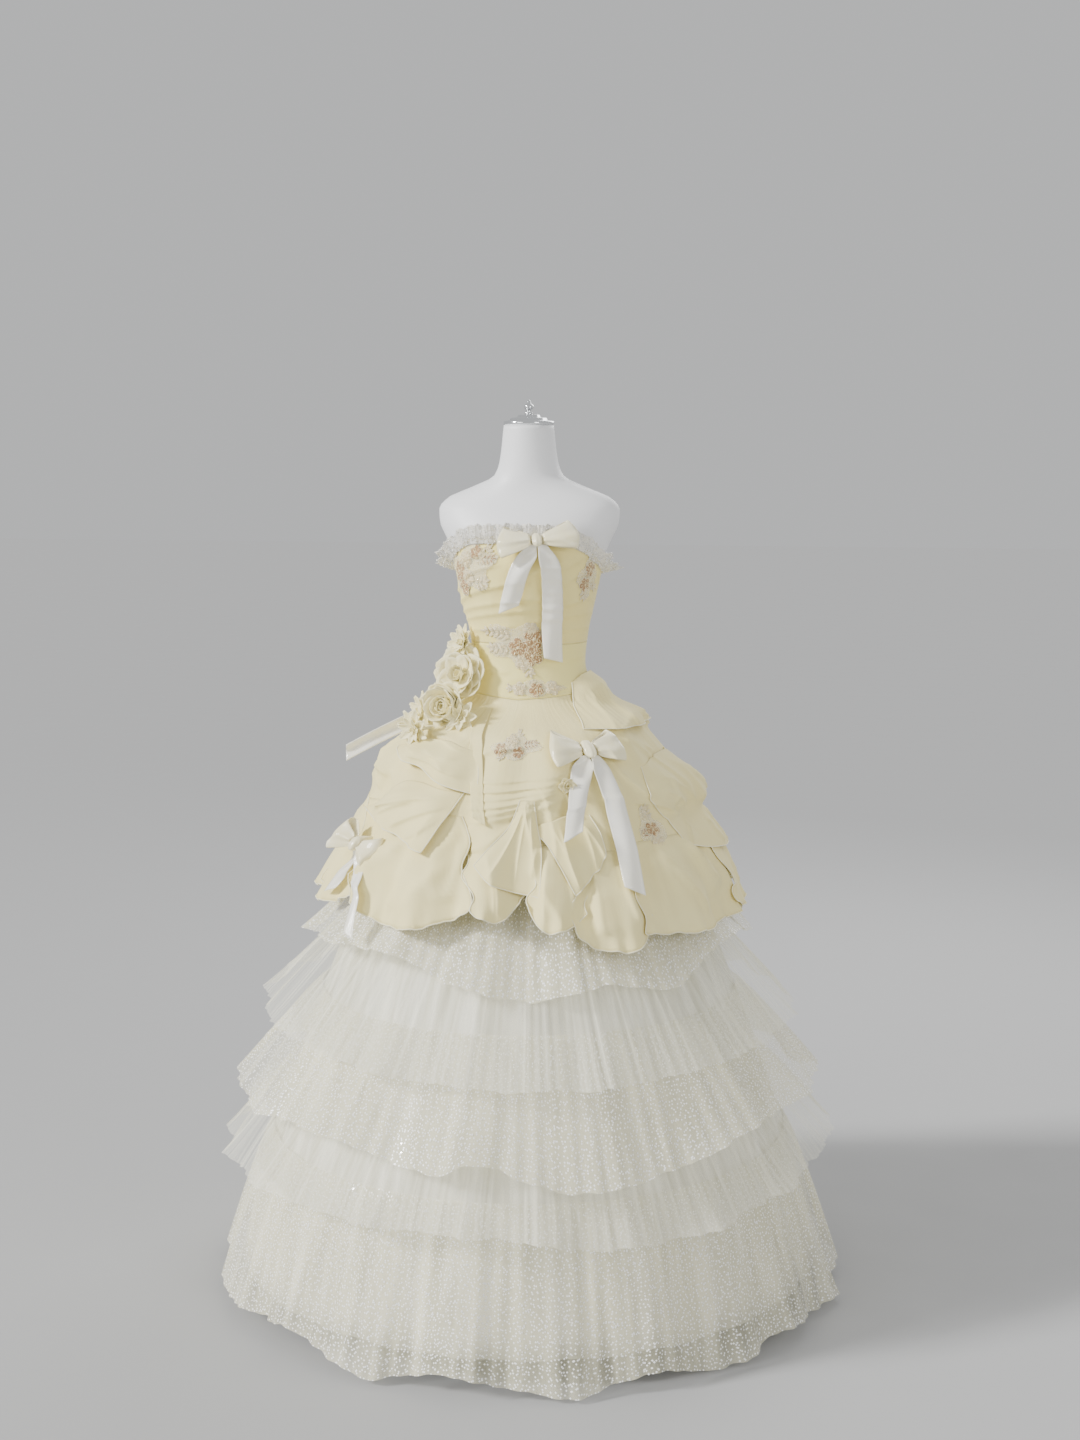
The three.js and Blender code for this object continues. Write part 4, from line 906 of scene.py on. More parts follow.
for number, (name, row) in enumerate(TIERS.items()):
    top, hem_radius, flare, waves, depth, phase, columns, fine, flat, hem = row
    share, down = uv_grid(columns + 1, 24)
    angle, down = ring_angles(share), down[:, :-1]
    turn = np.radians(angle)
    sheer = name.endswith("sheer")
    uneven = 0.8 + 0.2 * np.sin(3 * turn + phase)
    wave = np.cos(waves * turn + 0.7 * np.sin(2 * turn + phase)) * uneven
    small = ripple(turn, down * 1.2, fine, 11 + number)
    edge = curve(hem, angle)
    z = lerp(top, edge + 3 * wave + 2.5 * ripple(turn, 0, (31, 47), 51 + number), down)
    seam = satin_radius(angle, top) + 1 + CLOTH
    radius = lerp(seam, hem_radius, down**flare) + depth * wave * down
    radius = radius + small * lerp(1.0, 3.0 if sheer else 3.6, down) * smooth(down / 0.06)
    flick = np.maximum(ripple(turn, 0.6 * down, (9, 13, 17, 23), 31 + number), 0)
    radius = radius + (15 if sheer else 10) * flick * down**4
    tier = tube("tulle_" + name, around(angle, radius, z), 0, flat, SHEER if sheer else GLITTER)
    on_gown(tier, "sheer_tulle" if sheer else "glitter_tulle", name)
    if not sheer:
        sequins = grow(STREWN_SEQUINS, tier, "sequins_" + name, {
            "Count per square metre": SEQUINS_PER_M2, "Size": 0.0017, "Lift": 0.0008, "Seed": 20 + number})
        on_gown(sequins, "glitter_tulle")
    tiers[name] = tier
    print(name, "area", round(area_of(tier), 3), "flat", round(flat[0] * flat[1], 3))

# %% [markdown]
# ## Overskirt cloth and its rolled edge
# The puffed part is one tube from the basque down to where the lobes begin. Below that the cloth hangs in
# overlapping lobes, each laid over the next one's side, as a cascade does when wide cloth is picked up. The
# edge is rolled and overcast with thread, which shows as a thin pale cord that stiffens each lobe.

# %% Overskirt tube and lobes
LOBES = [
    # top: left, right; low edge: left, right; z: top, hem at left, middle and right; lift, folds
    (-66, -12, -46, -4, 948, 816, 758, 806, 13, 1.3), (-8, 14, -4, 11, 886, 803, 782, 818, 4, 0.6),
    (12, 29, 11, 27, 900, 806, 768, 792, 8, 0.8), (25, 50, 24, 47, 884, 768, 729, 780, 11, 1.2),
    (47, 86, 43, 86, 896, 757, 741, 748, 12, 1.7), (82, 113, 81, 111, 900, 772, 742, 790, 11, 1.1),
    (107, 137, 108, 133, 925, 788, 752, 776, 10, 1.2), (130, 162, 130, 159, 905, 776, 738, 782, 13, 1.4),
    (155, 186, 156, 184, 925, 785, 752, 790, 10, 1.1), (181, 213, 181, 209, 932, 788, 744, 776, 12, 1.5),
    (207, 239, 206, 236, 938, 778, 746, 788, 11, 1.2), (233, 263, 233, 260, 925, 786, 750, 792, 12, 1.1),
    (258, 290, 257, 286, 930, 790, 756, 776, 11, 1.4), (283, 302, 282, 317, 925, 776, 764, 820, 8, 0.9),
]
BASE_HEM = 46
LOBE_FOLDS = [
    # angle, z, angle, z, bow, width, height
    (-18, 952, -36, 868, -16, 20, 13), (-13, 936, -20, 884, 12, 14, 10), (-24, 900, -30, 776, 8, 26, 12),
    (-16, 920, -54, 836, -12, 18, 10), (-12, 876, -24, 786, -6, 18, 10), (-32, 884, -52, 796, -8, 16, 9),
    (60, 930, 78, 786, 8, 18, 10), (53, 900, 66, 760, 6, 18, 10),
    (-10, 920, -12, 800, 6, 18, 8), (-44, 900, -40, 796, -8, 24, 8), (-58, 920, -50, 850, 8, 20, 7),
    (2, 870, 4, 786, 4, 12, 6), (18, 890, 16, 780, -5, 14, 7), (23, 880, 24, 790, 4, 12, 6),
    (31, 892, 29, 744, 6, 20, 10), (40, 884, 42, 760, -6, 18, 9), (52, 935, 50, 752, 6, 22, 9),
    (62, 940, 74, 772, 14, 30, 12), (76, 930, 84, 770, -8, 22, 9), (95, 925, 92, 760, 8, 24, 9),
    (118, 930, 122, 766, -8, 26, 10), (146, 936, 142, 752, 10, 28, 11), (170, 930, 173, 764, -8, 24, 9),
    (196, 936, 200, 760, 10, 28, 11), (222, 938, 218, 762, -8, 24, 9), (247, 930, 251, 766, 8, 26, 10),
    (272, 930, 268, 772, -8, 24, 9), (292, 925, 298, 780, 6, 20, 8),
]


def lobe_grid(number, row, columns=43, rows=25):
    left, right, low_left, low_right, top, hem_left, hem_low, hem_right, lift, folds = row
    across, down = uv_grid(columns, rows)
    fall = down**0.8
    round_hem = np.sin(np.pi * across) ** 0.65
    hem = lerp(hem_left, hem_right, across) * (1 - round_hem) + hem_low * round_hem
    phase = 2 * math.pi * folds * across + number
    side = np.abs(2 * across - 1)
    sway = 2.4 * np.sin(2.4 * math.pi * down + 1.7 * number) * side**3 * np.sin(np.pi * down)
    angle = lerp(lerp(left, right, across), lerp(low_left, low_right, across), fall)
    angle = angle + 1.1 * down * np.sin(phase) + sway
    z = lerp(top + 8 * np.sin(np.pi * across), hem, down)
    belly = lift * np.sin(np.pi * np.clip(0.1 + 0.8 * across, 0, 1)) * smooth(down * 1.3)
    fold = 6 * down * (0.5 + 0.5 * np.cos(phase)) + 1.6 * down * np.cos(3.1 * phase + 2 * down)
    lap = 1 + 6 * (1 - across) * smooth(down * 4)
    curl = 5 * down**6 + 5 * down**2 * side**10
    flutter = down**5 * (2.4 * np.sin(0.9 * angle + number) + 1.4 * np.sin(1.7 * angle))
    deep = creased(angle, z, LOBE_FOLDS, LOBE_REACH) * smooth(down * 5)
    radius = overskirt_radius(angle, z) + lap + belly + fold + curl + flutter + deep
    return around(angle, radius, z + 0.8 * flutter)


def rim(grid):
    """Free edge of a strip: down one side, along the hem and up the other."""
    return np.concatenate([grid[:, 0], grid[-1, 1:], grid[-2::-1, -1]])


# Rows of points lie closer together at the tube's middle, where the swag pleats are.
ROW_CROWDING = 0.075
share, down = uv_grid(521, 92)
angle, down = ring_angles(share), down[:, :-1]
down = down - ROW_CROWDING * np.sin(2 * np.pi * (down - 0.5))
z = lerp(basque_edge(angle), curve(OVERSKIRT_HEM, angle) + BASE_HEM, down)
tube_grid = around(angle, overskirt_radius(angle, z), z)
faces, uv = cells(*tube_grid.shape[:2], True)
parts, uvs, edges = [(tube_grid, faces)], [uv * (2.5, 0.34)], []
for number, row in enumerate(LOBES):
    grid = lobe_grid(number, row)
    lobe_points, lobe_faces, lobe_uv = shell(grid, 0.6 * MM)
    parts.append((lobe_points, lobe_faces))
    uvs.append(lobe_uv * 0.18)
    edges.append((rim(grid), False))
overskirt = build("overskirt", *joined(parts), np.concatenate(uvs), (1, 1), [CHIFFON])
on_gown(overskirt, "chiffon", "overskirt_upper", "overskirt_lower")
HEM_CORD = 0.0012
overskirt_hem = sewn_line(ROLLED_HEM, "overskirt_rolled_hem", edges, "chiffon", {"Thread radius": HEM_CORD})
print("overskirt area", round(area_of(overskirt), 3), "flat", round(3.4 * 0.46, 3))

# %% [markdown]
# ## Flaps
# Where the overskirt is picked up, its spare cloth turns out in pointed flaps and rolled puffs. Each is laid
# one by one: a small net of points gives angle, height and how far the cloth stands off, from the left edge
# to the right one, and a fair surface is drawn through them. The hidden flaps are the same ones turned round.

# %% Flap nets
FLAP_NETS = {
    # rows from the top down; in a row angle, z, out
    "flap_hip_left": [
        [(60, 1168, 1), (74, 1182, 5), (92, 1186, 7), (108, 1176, 1)],
        [(56, 1142, 6), (71, 1156, 22), (91, 1160, 30), (112, 1146, 9)],
        [(50, 1114, 8), (67, 1122, 26), (90, 1124, 31), (114, 1112, 10)],
        [(44, 1092, 3), (62, 1090, 13), (86, 1088, 14), (115, 1086, 5)]],
    "flap_front_right": [
        [(-53, 1054, 28), (-43, 1072, 16), (-29, 1072, 7), (-12, 1054, 2)],
        [(-51, 1049, 31), (-41, 1055, 26), (-26, 1050, 17), (-10, 1032, 4)],
        [(-48, 1044, 30), (-38, 1042, 26), (-23, 1024, 20), (-8, 1008, 4)],
        [(-44, 1036, 26), (-34, 1027, 24), (-20, 1001, 14), (-7, 984, 1)]],
    "flap_front_low": [
        [(-60, 936, 16), (-49, 960, 14), (-37, 1001, 8), (-13, 988, 1)],
        [(-57, 934, 21), (-46, 950, 21), (-34, 972, 17), (-15, 966, 4)],
        [(-51, 928, 24), (-42, 932, 26), (-31, 936, 25), (-17, 940, 14)],
        [(-42, 922, 24), (-35, 912, 28), (-27, 900, 29), (-20, 890, 27)]],
    "flap_centre": [
        [(9, 980, 1), (11, 981, 3), (12, 981, 3), (14, 980, 1)],
        [(6, 940, 6), (9, 942, 15), (12, 942, 15), (15, 938, 6)],
        [(0, 902, 9), (5, 898, 20), (10, 896, 20), (16, 896, 9)],
        [(-4, 873, 13), (1, 850, 19), (8, 830, 19), (15, 822, 11)]],
    "flap_front_left": [
        [(12, 932, 1), (19, 946, 5), (26, 954, 5), (34, 952, 1)],
        [(17, 914, 7), (23, 918, 15), (29, 922, 15), (36, 918, 6)],
        [(21, 876, 13), (26, 876, 21), (31, 884, 19), (36, 896, 9)],
        [(25, 824, 21), (28, 838, 20), (31, 856, 18), (34, 868, 12)]],
    "flap_side_left": [
        [(62, 1024, 1), (76, 1036, 4), (92, 1040, 6), (108, 1026, 3)],
        [(60, 998, 2), (74, 1010, 12), (92, 1008, 18), (112, 996, 7)],
        [(59, 970, 3), (74, 966, 15), (94, 954, 24), (113, 958, 8)],
        [(62, 946, 2), (77, 936, 6), (95, 930, 12), (113, 936, 4)],
        [(65, 916, 3), (80, 900, 14), (96, 892, 19), (114, 902, 7)],
        [(68, 884, 6), (82, 866, 18), (98, 858, 24), (116, 872, 10)]],
}
TURNED_FLAPS = {
    # name: the flap it repeats, mirrored or not, its new middle angle, rise
    "flap_back_left": ("flap_front_low", -1, 138, 24),
    "flap_back_centre": ("flap_front_left", 1, 188, 36),
    "flap_back_right": ("flap_side_left", -1, -118, 6),
}
FLAP_FOLDS = [
    # angle, z, angle, z, bow, width, height
    (-46, 1046, -10, 1006, 8, 22, 9), (-48, 1060, -16, 1046, -5, 18, 7), (-38, 1060, -20, 1020, 6, 14, 5),
    (-54, 934, -16, 982, 10, 24, 11), (-38, 916, -15, 966, 7, 18, 9), (-56, 946, -28, 990, 6, 16, 7),
    (-30, 904, -17, 950, -5, 14, 7), (-46, 932, -30, 968, 5, 12, 5), (11, 978, 0, 850, 4, 12, 6),
    (12, 976, 8, 834, -3, 10, 5), (13, 970, 15, 830, -4, 12, 5), (22, 950, 27, 826, -4, 14, 8),
    (30, 946, 32, 850, 4, 12, 6), (18, 950, 24, 880, 3, 10, 4), (72, 1020, 70, 944, 5, 20, 7),
    (86, 1024, 88, 942, -5, 20, 8), (100, 1018, 103, 944, 5, 18, 6), (74, 925, 70, 870, 5, 18, 7),
    (88, 922, 90, 862, -5, 18, 7), (102, 926, 105, 868, 4, 18, 6), (70, 1160, 58, 1082, 6, 18, 6),
    (64, 1010, 84, 946, 10, 22, 9), (80, 1030, 100, 956, 10, 20, 8), (64, 980, 78, 942, 6, 14, 6),
    (84, 1172, 80, 1076, -5, 20, 7), (100, 1168, 104, 1074, 6, 20, 6),
]


def fair_surface(net, columns, rows):
    """Smooth grid through a small net of points."""
    table = np.array(net, float)
    across, down = np.linspace(0, table.shape[1] - 1, columns), np.linspace(0, table.shape[0] - 1, rows)

    def fair(values, at):
        return curve(np.stack([np.arange(len(values)), values], -1), at)

    lines = [[fair(row[:, k], across) for k in range(3)] for row in table]
    return np.array([[fair([line[k][j] for line in lines], down) for k in range(3)] for j in range(columns)])


def turned_net(source, mirror, middle, rise):
    """A net turned round to a new middle, and the middle it had."""
    table = np.array(FLAP_NETS[source], float)
    centre = table[..., 0].mean()
    table[..., 0] = mirror * (table[..., 0] - centre) + middle
    table[..., 1] += rise
    return (table if mirror > 0 else table[:, ::-1]), centre


def make_flap(name, net, folds):
    surface = fair_surface(net, 71, 16 + 8 * (len(net) - 1))
    angle, z, out = [surface[:, k].T for k in range(3)]
    across, down = uv_grid(*angle.shape[::-1])
    free = smooth(down * 3) * smooth(4 * across + 0.2) * smooth(4.2 - 4 * across)
    flutter = 2.2 * np.sin(17 * across + 3 * down + len(name)) * down**3
    floor_radius = skin(angle, z) + LIE
    radius = floor_radius + out + creased(angle, z, folds, FLAP_REACH) * free + flutter
    grid = around(angle, np.maximum(radius, floor_radius), z)
    wide = np.linalg.norm(np.diff(grid, axis=1), axis=2).sum(1).mean()
    tall = np.linalg.norm(np.diff(grid, axis=0), axis=2).sum(0).mean()
    flap = build("chiffon_" + name, *shell(grid, 0.6 * MM), (wide, tall), [CHIFFON])
    on_gown(flap, "chiffon", name)
    cord = sewn_line(ROLLED_HEM, "hem_" + name, [(rim(grid), False)], "chiffon", {"Thread radius": HEM_CORD})
    print(name, "area", round(area_of(flap) / 2, 4), "flat", round(wide * tall, 4))


for name, net in FLAP_NETS.items():
    make_flap(name, net, FLAP_FOLDS)
for name, (source, mirror, middle, rise) in TURNED_FLAPS.items():
    net, centre = turned_net(source, mirror, middle, rise)
    folds = []
    for a0, z0, a1, z1, bow, *rest in FLAP_FOLDS:
        start, end = mirror * (a0 - centre) + middle, mirror * (a1 - centre) + middle
        folds.append((start, z0 + rise, end, z1 + rise, mirror * bow, *rest))
    make_flap(name, net, folds)

# %% [markdown]
# ## Bodice and basque
# The bodice has a front and two backs, each one pleated shell; the basque under it is the
# smooth yoke that holds the skirts. Stitches are laid along the waist seam and the basque's lower edge.

# %% Bodice panels
SIDE_SEAM, BACK_SEAM, SEAM = 89.85, 179.75, 0.4
PANELS = {
    "front": (-SIDE_SEAM, SIDE_SEAM, 121), "back_left": (180 - SIDE_SEAM, BACK_SEAM, 61),
    "back_right": (-BACK_SEAM, SIDE_SEAM - 180, 61),
}
for side, (start, end, columns) in PANELS.items():
    share, down = uv_grid(columns, 66)
    angle = lerp(start, end, share)
    z = lerp(top_edge(angle), WAIST_SEAM + SEAM, down)
    flat = (math.radians(end - start) * 0.122, 0.2 if side == "front" else 0.14)
    points, faces, uv = shell(around(angle, bodice_radius(angle, z), z), 1.2 * MM)
    bodice = build("draped_bodice_" + side, points, faces, uv, flat, [BODICE_CLOTH])
    on_gown(bodice, "bodice_cloth", "bodice_" + side)
    share, down = uv_grid(columns * 3 // 4, 30)
    angle = lerp(start, end, share)
    z = lerp(WAIST_SEAM, basque_edge(angle) + SEAM, down)
    flat_low = (math.radians(end - start) * 0.112, 0.1)
    points, faces, uv = shell(around(angle, basque_radius(angle, z), z), 1.2 * MM)
    basque = build("yoke_" + side, points, faces, uv, flat_low, [BASQUE_CLOTH])
    on_gown(basque, "bodice_cloth", "basque_" + side)
    print(side, "bodice", round(area_of(bodice) / 2, 4), round(flat[0] * flat[1], 4),
          "basque", round(area_of(basque) / 2, 4), round(flat_low[0] * flat_low[1], 4))

ring = np.linspace(-180, 180, 361)[:-1]
seams = [(around(ring, bodice_radius(ring, WAIST_SEAM + 3) + 0.3, WAIST_SEAM + 3), True),
         (around(ring, basque_radius(ring, basque_edge(ring) + 4) + 0.3, basque_edge(ring) + 4), True)]
sewn_line(SEAM_STITCHES, "bodice_stitches", seams, "bodice_cloth", {
    "Stitch pitch": 0.0036, "Stitch length": 0.0026, "Thread radius": 0.0003})

# %% [markdown]
# ## Neckline ruffle
# A strip of beaded lace is gathered along the top edge. It stands up in front and at the back, and under the
# arms it falls outwards. Holes of the lace are a pattern in the material; its beads are real.

# %% Ruffle and its beads
across, down = uv_grid(721, 12)
angle = lerp(-179.4, 179.4, across)
turn = np.radians(angle)
points_up = 3.2 * np.abs(np.sin(36 * turn)) + 1.5 * ripple(turn, 0, (23, 41), 9)
rise = 1 - down
sides = np.sin(turn) ** 8
# How far the lace stands above the edge, how much lower it falls under the arms, and where it is sewn below.
STANDS, FALLS, SEWN = 20, 26, 14
z = lerp(top_edge(angle) + STANDS - FALLS * sides + points_up, top_edge(angle) - SEWN, down)
on_bodice = bodice_radius(angle, top_edge(angle) - SEWN)
base = np.maximum(on_bodice, body_radius(angle, z) + BODY_GAP + CLOTH) + LIE + LACE
wave = 0.5 + 0.5 * np.cos(30 * turn)
small = 1.3 * (1 + ripple(turn, down, (61, 97, 137), 4)) * rise
crumple = 6 * sides * rise * ripple(turn, 0, (47, 71), 6)
radius = base + rise * (4 + 22 * sides) + (2 + 5 * rise) * wave + small + crumple
ruffle = build("lace_ruffle", *shell(around(angle, radius, z), 0.5 * MM), (1.15, 0.04), [LACE_CLOTH])
on_gown(ruffle, "lace", "neckline_ruffle")
ruffle_beads = on_gown(grow(STREWN_BEADS, ruffle, "ruffle_beads", {
    "Count per square metre": 15000.0, "Size": 0.0016, "Lift": 0.0006, "Seed": 31}), "lace")
BEAD_FACES = 20
print("ruffle area", round(area_of(ruffle) / 2, 4), "beads", len(ruffle_beads.data.polygons) // BEAD_FACES)

# %% [markdown]
# ## Lace motifs
# Each motif is a scrap of lace net with flowers and leaves worked on it in padded stitch: rose-brown petals,
# white sprays, and tiny beads over all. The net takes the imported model's lobed outline. Petals and leaves
# are small domed pads, placed by simple rules and bent onto the gown. The size enlarges net and work alike.

# %% Motif helpers
MOTIFS = [
    # name, angle, z, half across, half up, lobes, turn, size
    ("motif_bust_right", -42, 1382, 52, 38, 5, 20, 1.35), ("motif_bust_left", 65, 1366, 26, 36, 4, 0, 1.15),
    ("motif_waist", 0, 1240, 52, 36, 5, -10, 1.3), ("motif_basque_edge", 19, 1159, 46, 14, 4, 0, 1.2),
    ("motif_overskirt_front", 6, 1066, 44, 20, 4, 0, 1.1),
    ("motif_overskirt_side", 57, 910, 24, 46, 4, 10, 1.1),
]
NET_LIFT = 1.0


def on_skin(motif, x, y, out):
    """Point over the gown, x to the wearer's left and y up from the motif's middle."""
    middle, height, lean = motif[1], motif[2], math.radians(motif[6])
    x, y = motif[7] * x, motif[7] * y
    reach = skin(middle, height)
    angle = middle + np.degrees((x * math.cos(lean) - y * math.sin(lean)) / reach)
    z = height + x * math.sin(lean) + y * math.cos(lean)
    return around(angle, skin(angle, z) + LIE + out, z)


def pad(motif, x, y, length, width, turn, height, point=0.0):
    """Domed leaf or petal from its root at x, y; point narrows its tip."""
    sectors, rings = 14, 3
    t = 2 * math.pi * np.arange(sectors) / sectors
    shares = np.array([1.0, 0.72, 0.4])
    lx = 0.5 + 0.5 * shares[:, None] * np.cos(t)
    swell = lerp(0.62 + 0.62 * lx, 1.1 - lx**2, point)
    half = shares[:, None] * np.sin(t) * swell * width / 2
    c, s = math.cos(math.radians(turn)), math.sin(math.radians(turn))
    px = x + c * lx * length - s * half
    py = y + s * lx * length + c * half
    rim = np.array([0.15, 0.75, 1.0])[:, None] * height
    grid = on_skin(motif, px, py, NET_LIFT + rim + 0 * px)
    middle = on_skin(motif, x + c * length / 2, y + s * length / 2, NET_LIFT + height)
    points = np.concatenate([grid.reshape(-1, 3), middle.reshape(1, 3)])
    faces = []
    for k in range(sectors):
        n = (k + 1) % sectors
        for ring in range(rings - 1):
            a, b = ring * sectors, (ring + 1) * sectors
            faces.append((a + k, a + n, b + n, b + k))
        faces.append((2 * sectors + k, 2 * sectors + n, rings * sectors))
    faces.append(tuple(range(sectors))[::-1])
    return points, faces, grid[0]


def floret(x, y, size, petals, turn, colour):
    """A flower of flat petals with a round middle, as rows for pads."""
    step_turn = 360 / petals
    ring = [(x, y, size, size * 0.84, turn + k * step_turn, 1.6, 0.0, colour) for k in range(petals)]
    return ring + [(x - 0.16 * size, y, size * 0.32, size * 0.32, 0, 2.6, 0.0, 0)]


def spray(x, y, turn, leaves, size, colour, bend=6):
    """A stalk of paired leaves with one at its tip, as rows for pads."""
    rows = []
    for k in range(leaves):
        heading = math.radians(turn + bend * k)
        x, y = x + size * 0.62 * math.cos(heading), y + size * 0.62 * math.sin(heading)
        for side in (-48, 48):
            rows.append((x, y, size * (1 - 0.07 * k), size * 0.36, turn + bend * k + side, 1.0, 0.5, colour))
    rows.append((x, y, size, size * 0.34, turn + bend * leaves, 1.0, 0.6, colour))
    return rows


print("motifs:", [row[0] for row in MOTIFS])

# %% [markdown]
# The layouts below are ordinary sprays and five-petalled flowers. Colour 0 is white thread, 1 is rose.

# %% Motif layouts
LAYOUTS = {
    "motif_bust_right": (
        floret(-24, 4, 15, 5, 10, 1) + floret(-2, 14, 12, 5, 40, 0) + floret(-26, -20, 12, 5, 70, 1)
        + floret(18, 18, 10, 5, 0, 1) + floret(-8, -10, 11, 5, 25, 0) + spray(8, 4, 10, 4, 12, 0)
        + spray(-6, -20, -20, 3, 12, 0) + spray(-18, 20, 120, 2, 11, 0) + spray(22, 8, -30, 3, 10, 1)),
    "motif_bust_left": (
        floret(2, 12, 13, 5, 20, 1) + floret(-4, -12, 12, 5, 50, 1) + spray(4, -2, 80, 3, 10, 0)
        + spray(-4, -18, -100, 2, 10, 0) + spray(8, -8, -40, 2, 10, 0)),
    "motif_waist": (
        floret(20, 12, 16, 5, 15, 1) + floret(22, -12, 16, 5, 50, 1) + floret(0, -4, 15, 5, 30, 1)
        + floret(10, -24, 12, 5, 5, 0) + floret(12, 26, 10, 5, 60, 0) + spray(-8, 8, 170, 5, 12, 0, 3)
        + spray(-8, -8, 195, 4, 12, 0, -4) + spray(16, -22, -70, 2, 11, 0) + spray(30, 0, 10, 2, 10, 0)),
    "motif_basque_edge": (
        floret(-24, -1, 11, 5, 20, 0) + floret(2, -2, 12, 5, 50, 1) + floret(26, 0, 11, 5, 0, 0)
        + spray(-14, 3, 20, 2, 8, 0) + spray(12, 3, 10, 2, 8, 0) + spray(-32, 2, 190, 1, 9, 0)),
    "motif_overskirt_front": (
        floret(-8, 7, 12, 5, 20, 0) + floret(-24, -4, 11, 5, 60, 1) + floret(4, -8, 10, 5, 0, 1)
        + spray(8, 2, 5, 4, 9, 1, 2) + spray(-12, -8, 200, 2, 9, 0) + spray(0, 12, 60, 1, 9, 0)),
    "motif_overskirt_side": (
        floret(0, -16, 13, 5, 20, 0) + floret(2, 6, 12, 5, 50, 1) + floret(-6, -34, 10, 5, 0, 1)
        + spray(4, 16, 80, 3, 11, 0, 3) + spray(-6, -6, 120, 2, 9, 1) + spray(6, -26, -50, 2, 9, 0)),
}
EDGE_MEAN, EDGE_WAVE = 0.82, 0.18
for motif in MOTIFS:
    name, _, _, half_across, half_up, lobes, _, size = motif
    sectors = 20 * lobes
    t = 2 * math.pi * np.arange(sectors) / sectors
    shares = np.linspace(1, 0.04, 12)[:, None]
    edge = (EDGE_MEAN + EDGE_WAVE * np.cos(lobes * t)) * (1 + 0.03 * np.cos(6 * lobes * t))
    x, y = half_across * shares * edge * np.cos(t), half_up * shares * edge * np.sin(t)
    grid = on_skin(motif, x, y, NET_LIFT + 0 * x)[:, ::-1]
    flat = (2 * size * half_across * MM, 2 * size * half_up * MM)
    net = tube("net_" + name, grid, 0.4, (4 * flat[0], flat[1]), MOTIF_NET)
    on_gown(net, "motif", name)
    parts, colours, outlines = [], [], []
    for *shape, colour in LAYOUTS[name]:
        pad_points, pad_faces, outline = pad(motif, *shape)
        parts.append((pad_points, pad_faces))
        colours.extend([colour] * len(pad_faces))
        outlines.append((outline, True))
    work = build("embroidery_" + name, *joined(parts), materials=[WHITE_THREAD, ROSE_THREAD], slots=colours)
    on_gown(work, "motif")
    cord = sewn_line(OUTLINE_CORD, "cord_" + name, outlines, "motif", {"Thread radius": 0.0006})
    beads = on_gown(grow(STREWN_AMBER, work, "beads_" + name, {
        "Count per square metre": 90000.0, "Size": 0.0011, "Lift": 0.0005, "Seed": 41}), "motif")
    # Area of an oval whose edge waves in and out.
    print(name, "net", round(area_of(net) / 2, 4), "of", round(flat[0] * flat[1], 4),
          "beads", len(beads.data.polygons) // BEAD_FACES)

# %% [markdown]
# ## Ribbon bows
# A bow is two loops of satin ribbon drawn together by a knot. Each loop goes out in front, turns at its end
# and comes back behind. Creases fan out from the knot and die away in the loop, because the ribbon is
# squeezed there to a third of its width. Swing turns a bow on its knot, so that its right loop stands out.

# %% Bows
BOWS = [
    # name, angle, z, out, length, height, thick, tilt, knot, swing
    ("bow_bust", 18, 1438, 28, 62, 54, 20, 5, 22, 0),
    ("bow_hip", 39, 1063, 18, 60, 54, 24, -2, 26, 0),
    ("bow_side", -47, 884, 42, 46, 56, 24, -16, 24, 24),
]


def bow_point(bow, across, up, out):
    """Point of a bow, with across and up measured from its knot."""
    _, middle, height, stand, *_, tilt, _, swing = bow
    tilt, swing = math.radians(tilt), math.radians(swing)
    x = across * math.cos(tilt) - up * math.sin(tilt)
    y = across * math.sin(tilt) + up * math.cos(tilt)
    angle = middle + np.degrees(x * math.cos(swing) / (skin(middle, height) + stand))
    z = height + y
    return around(angle, skin(angle, z) + stand + out - x * math.sin(swing), z)


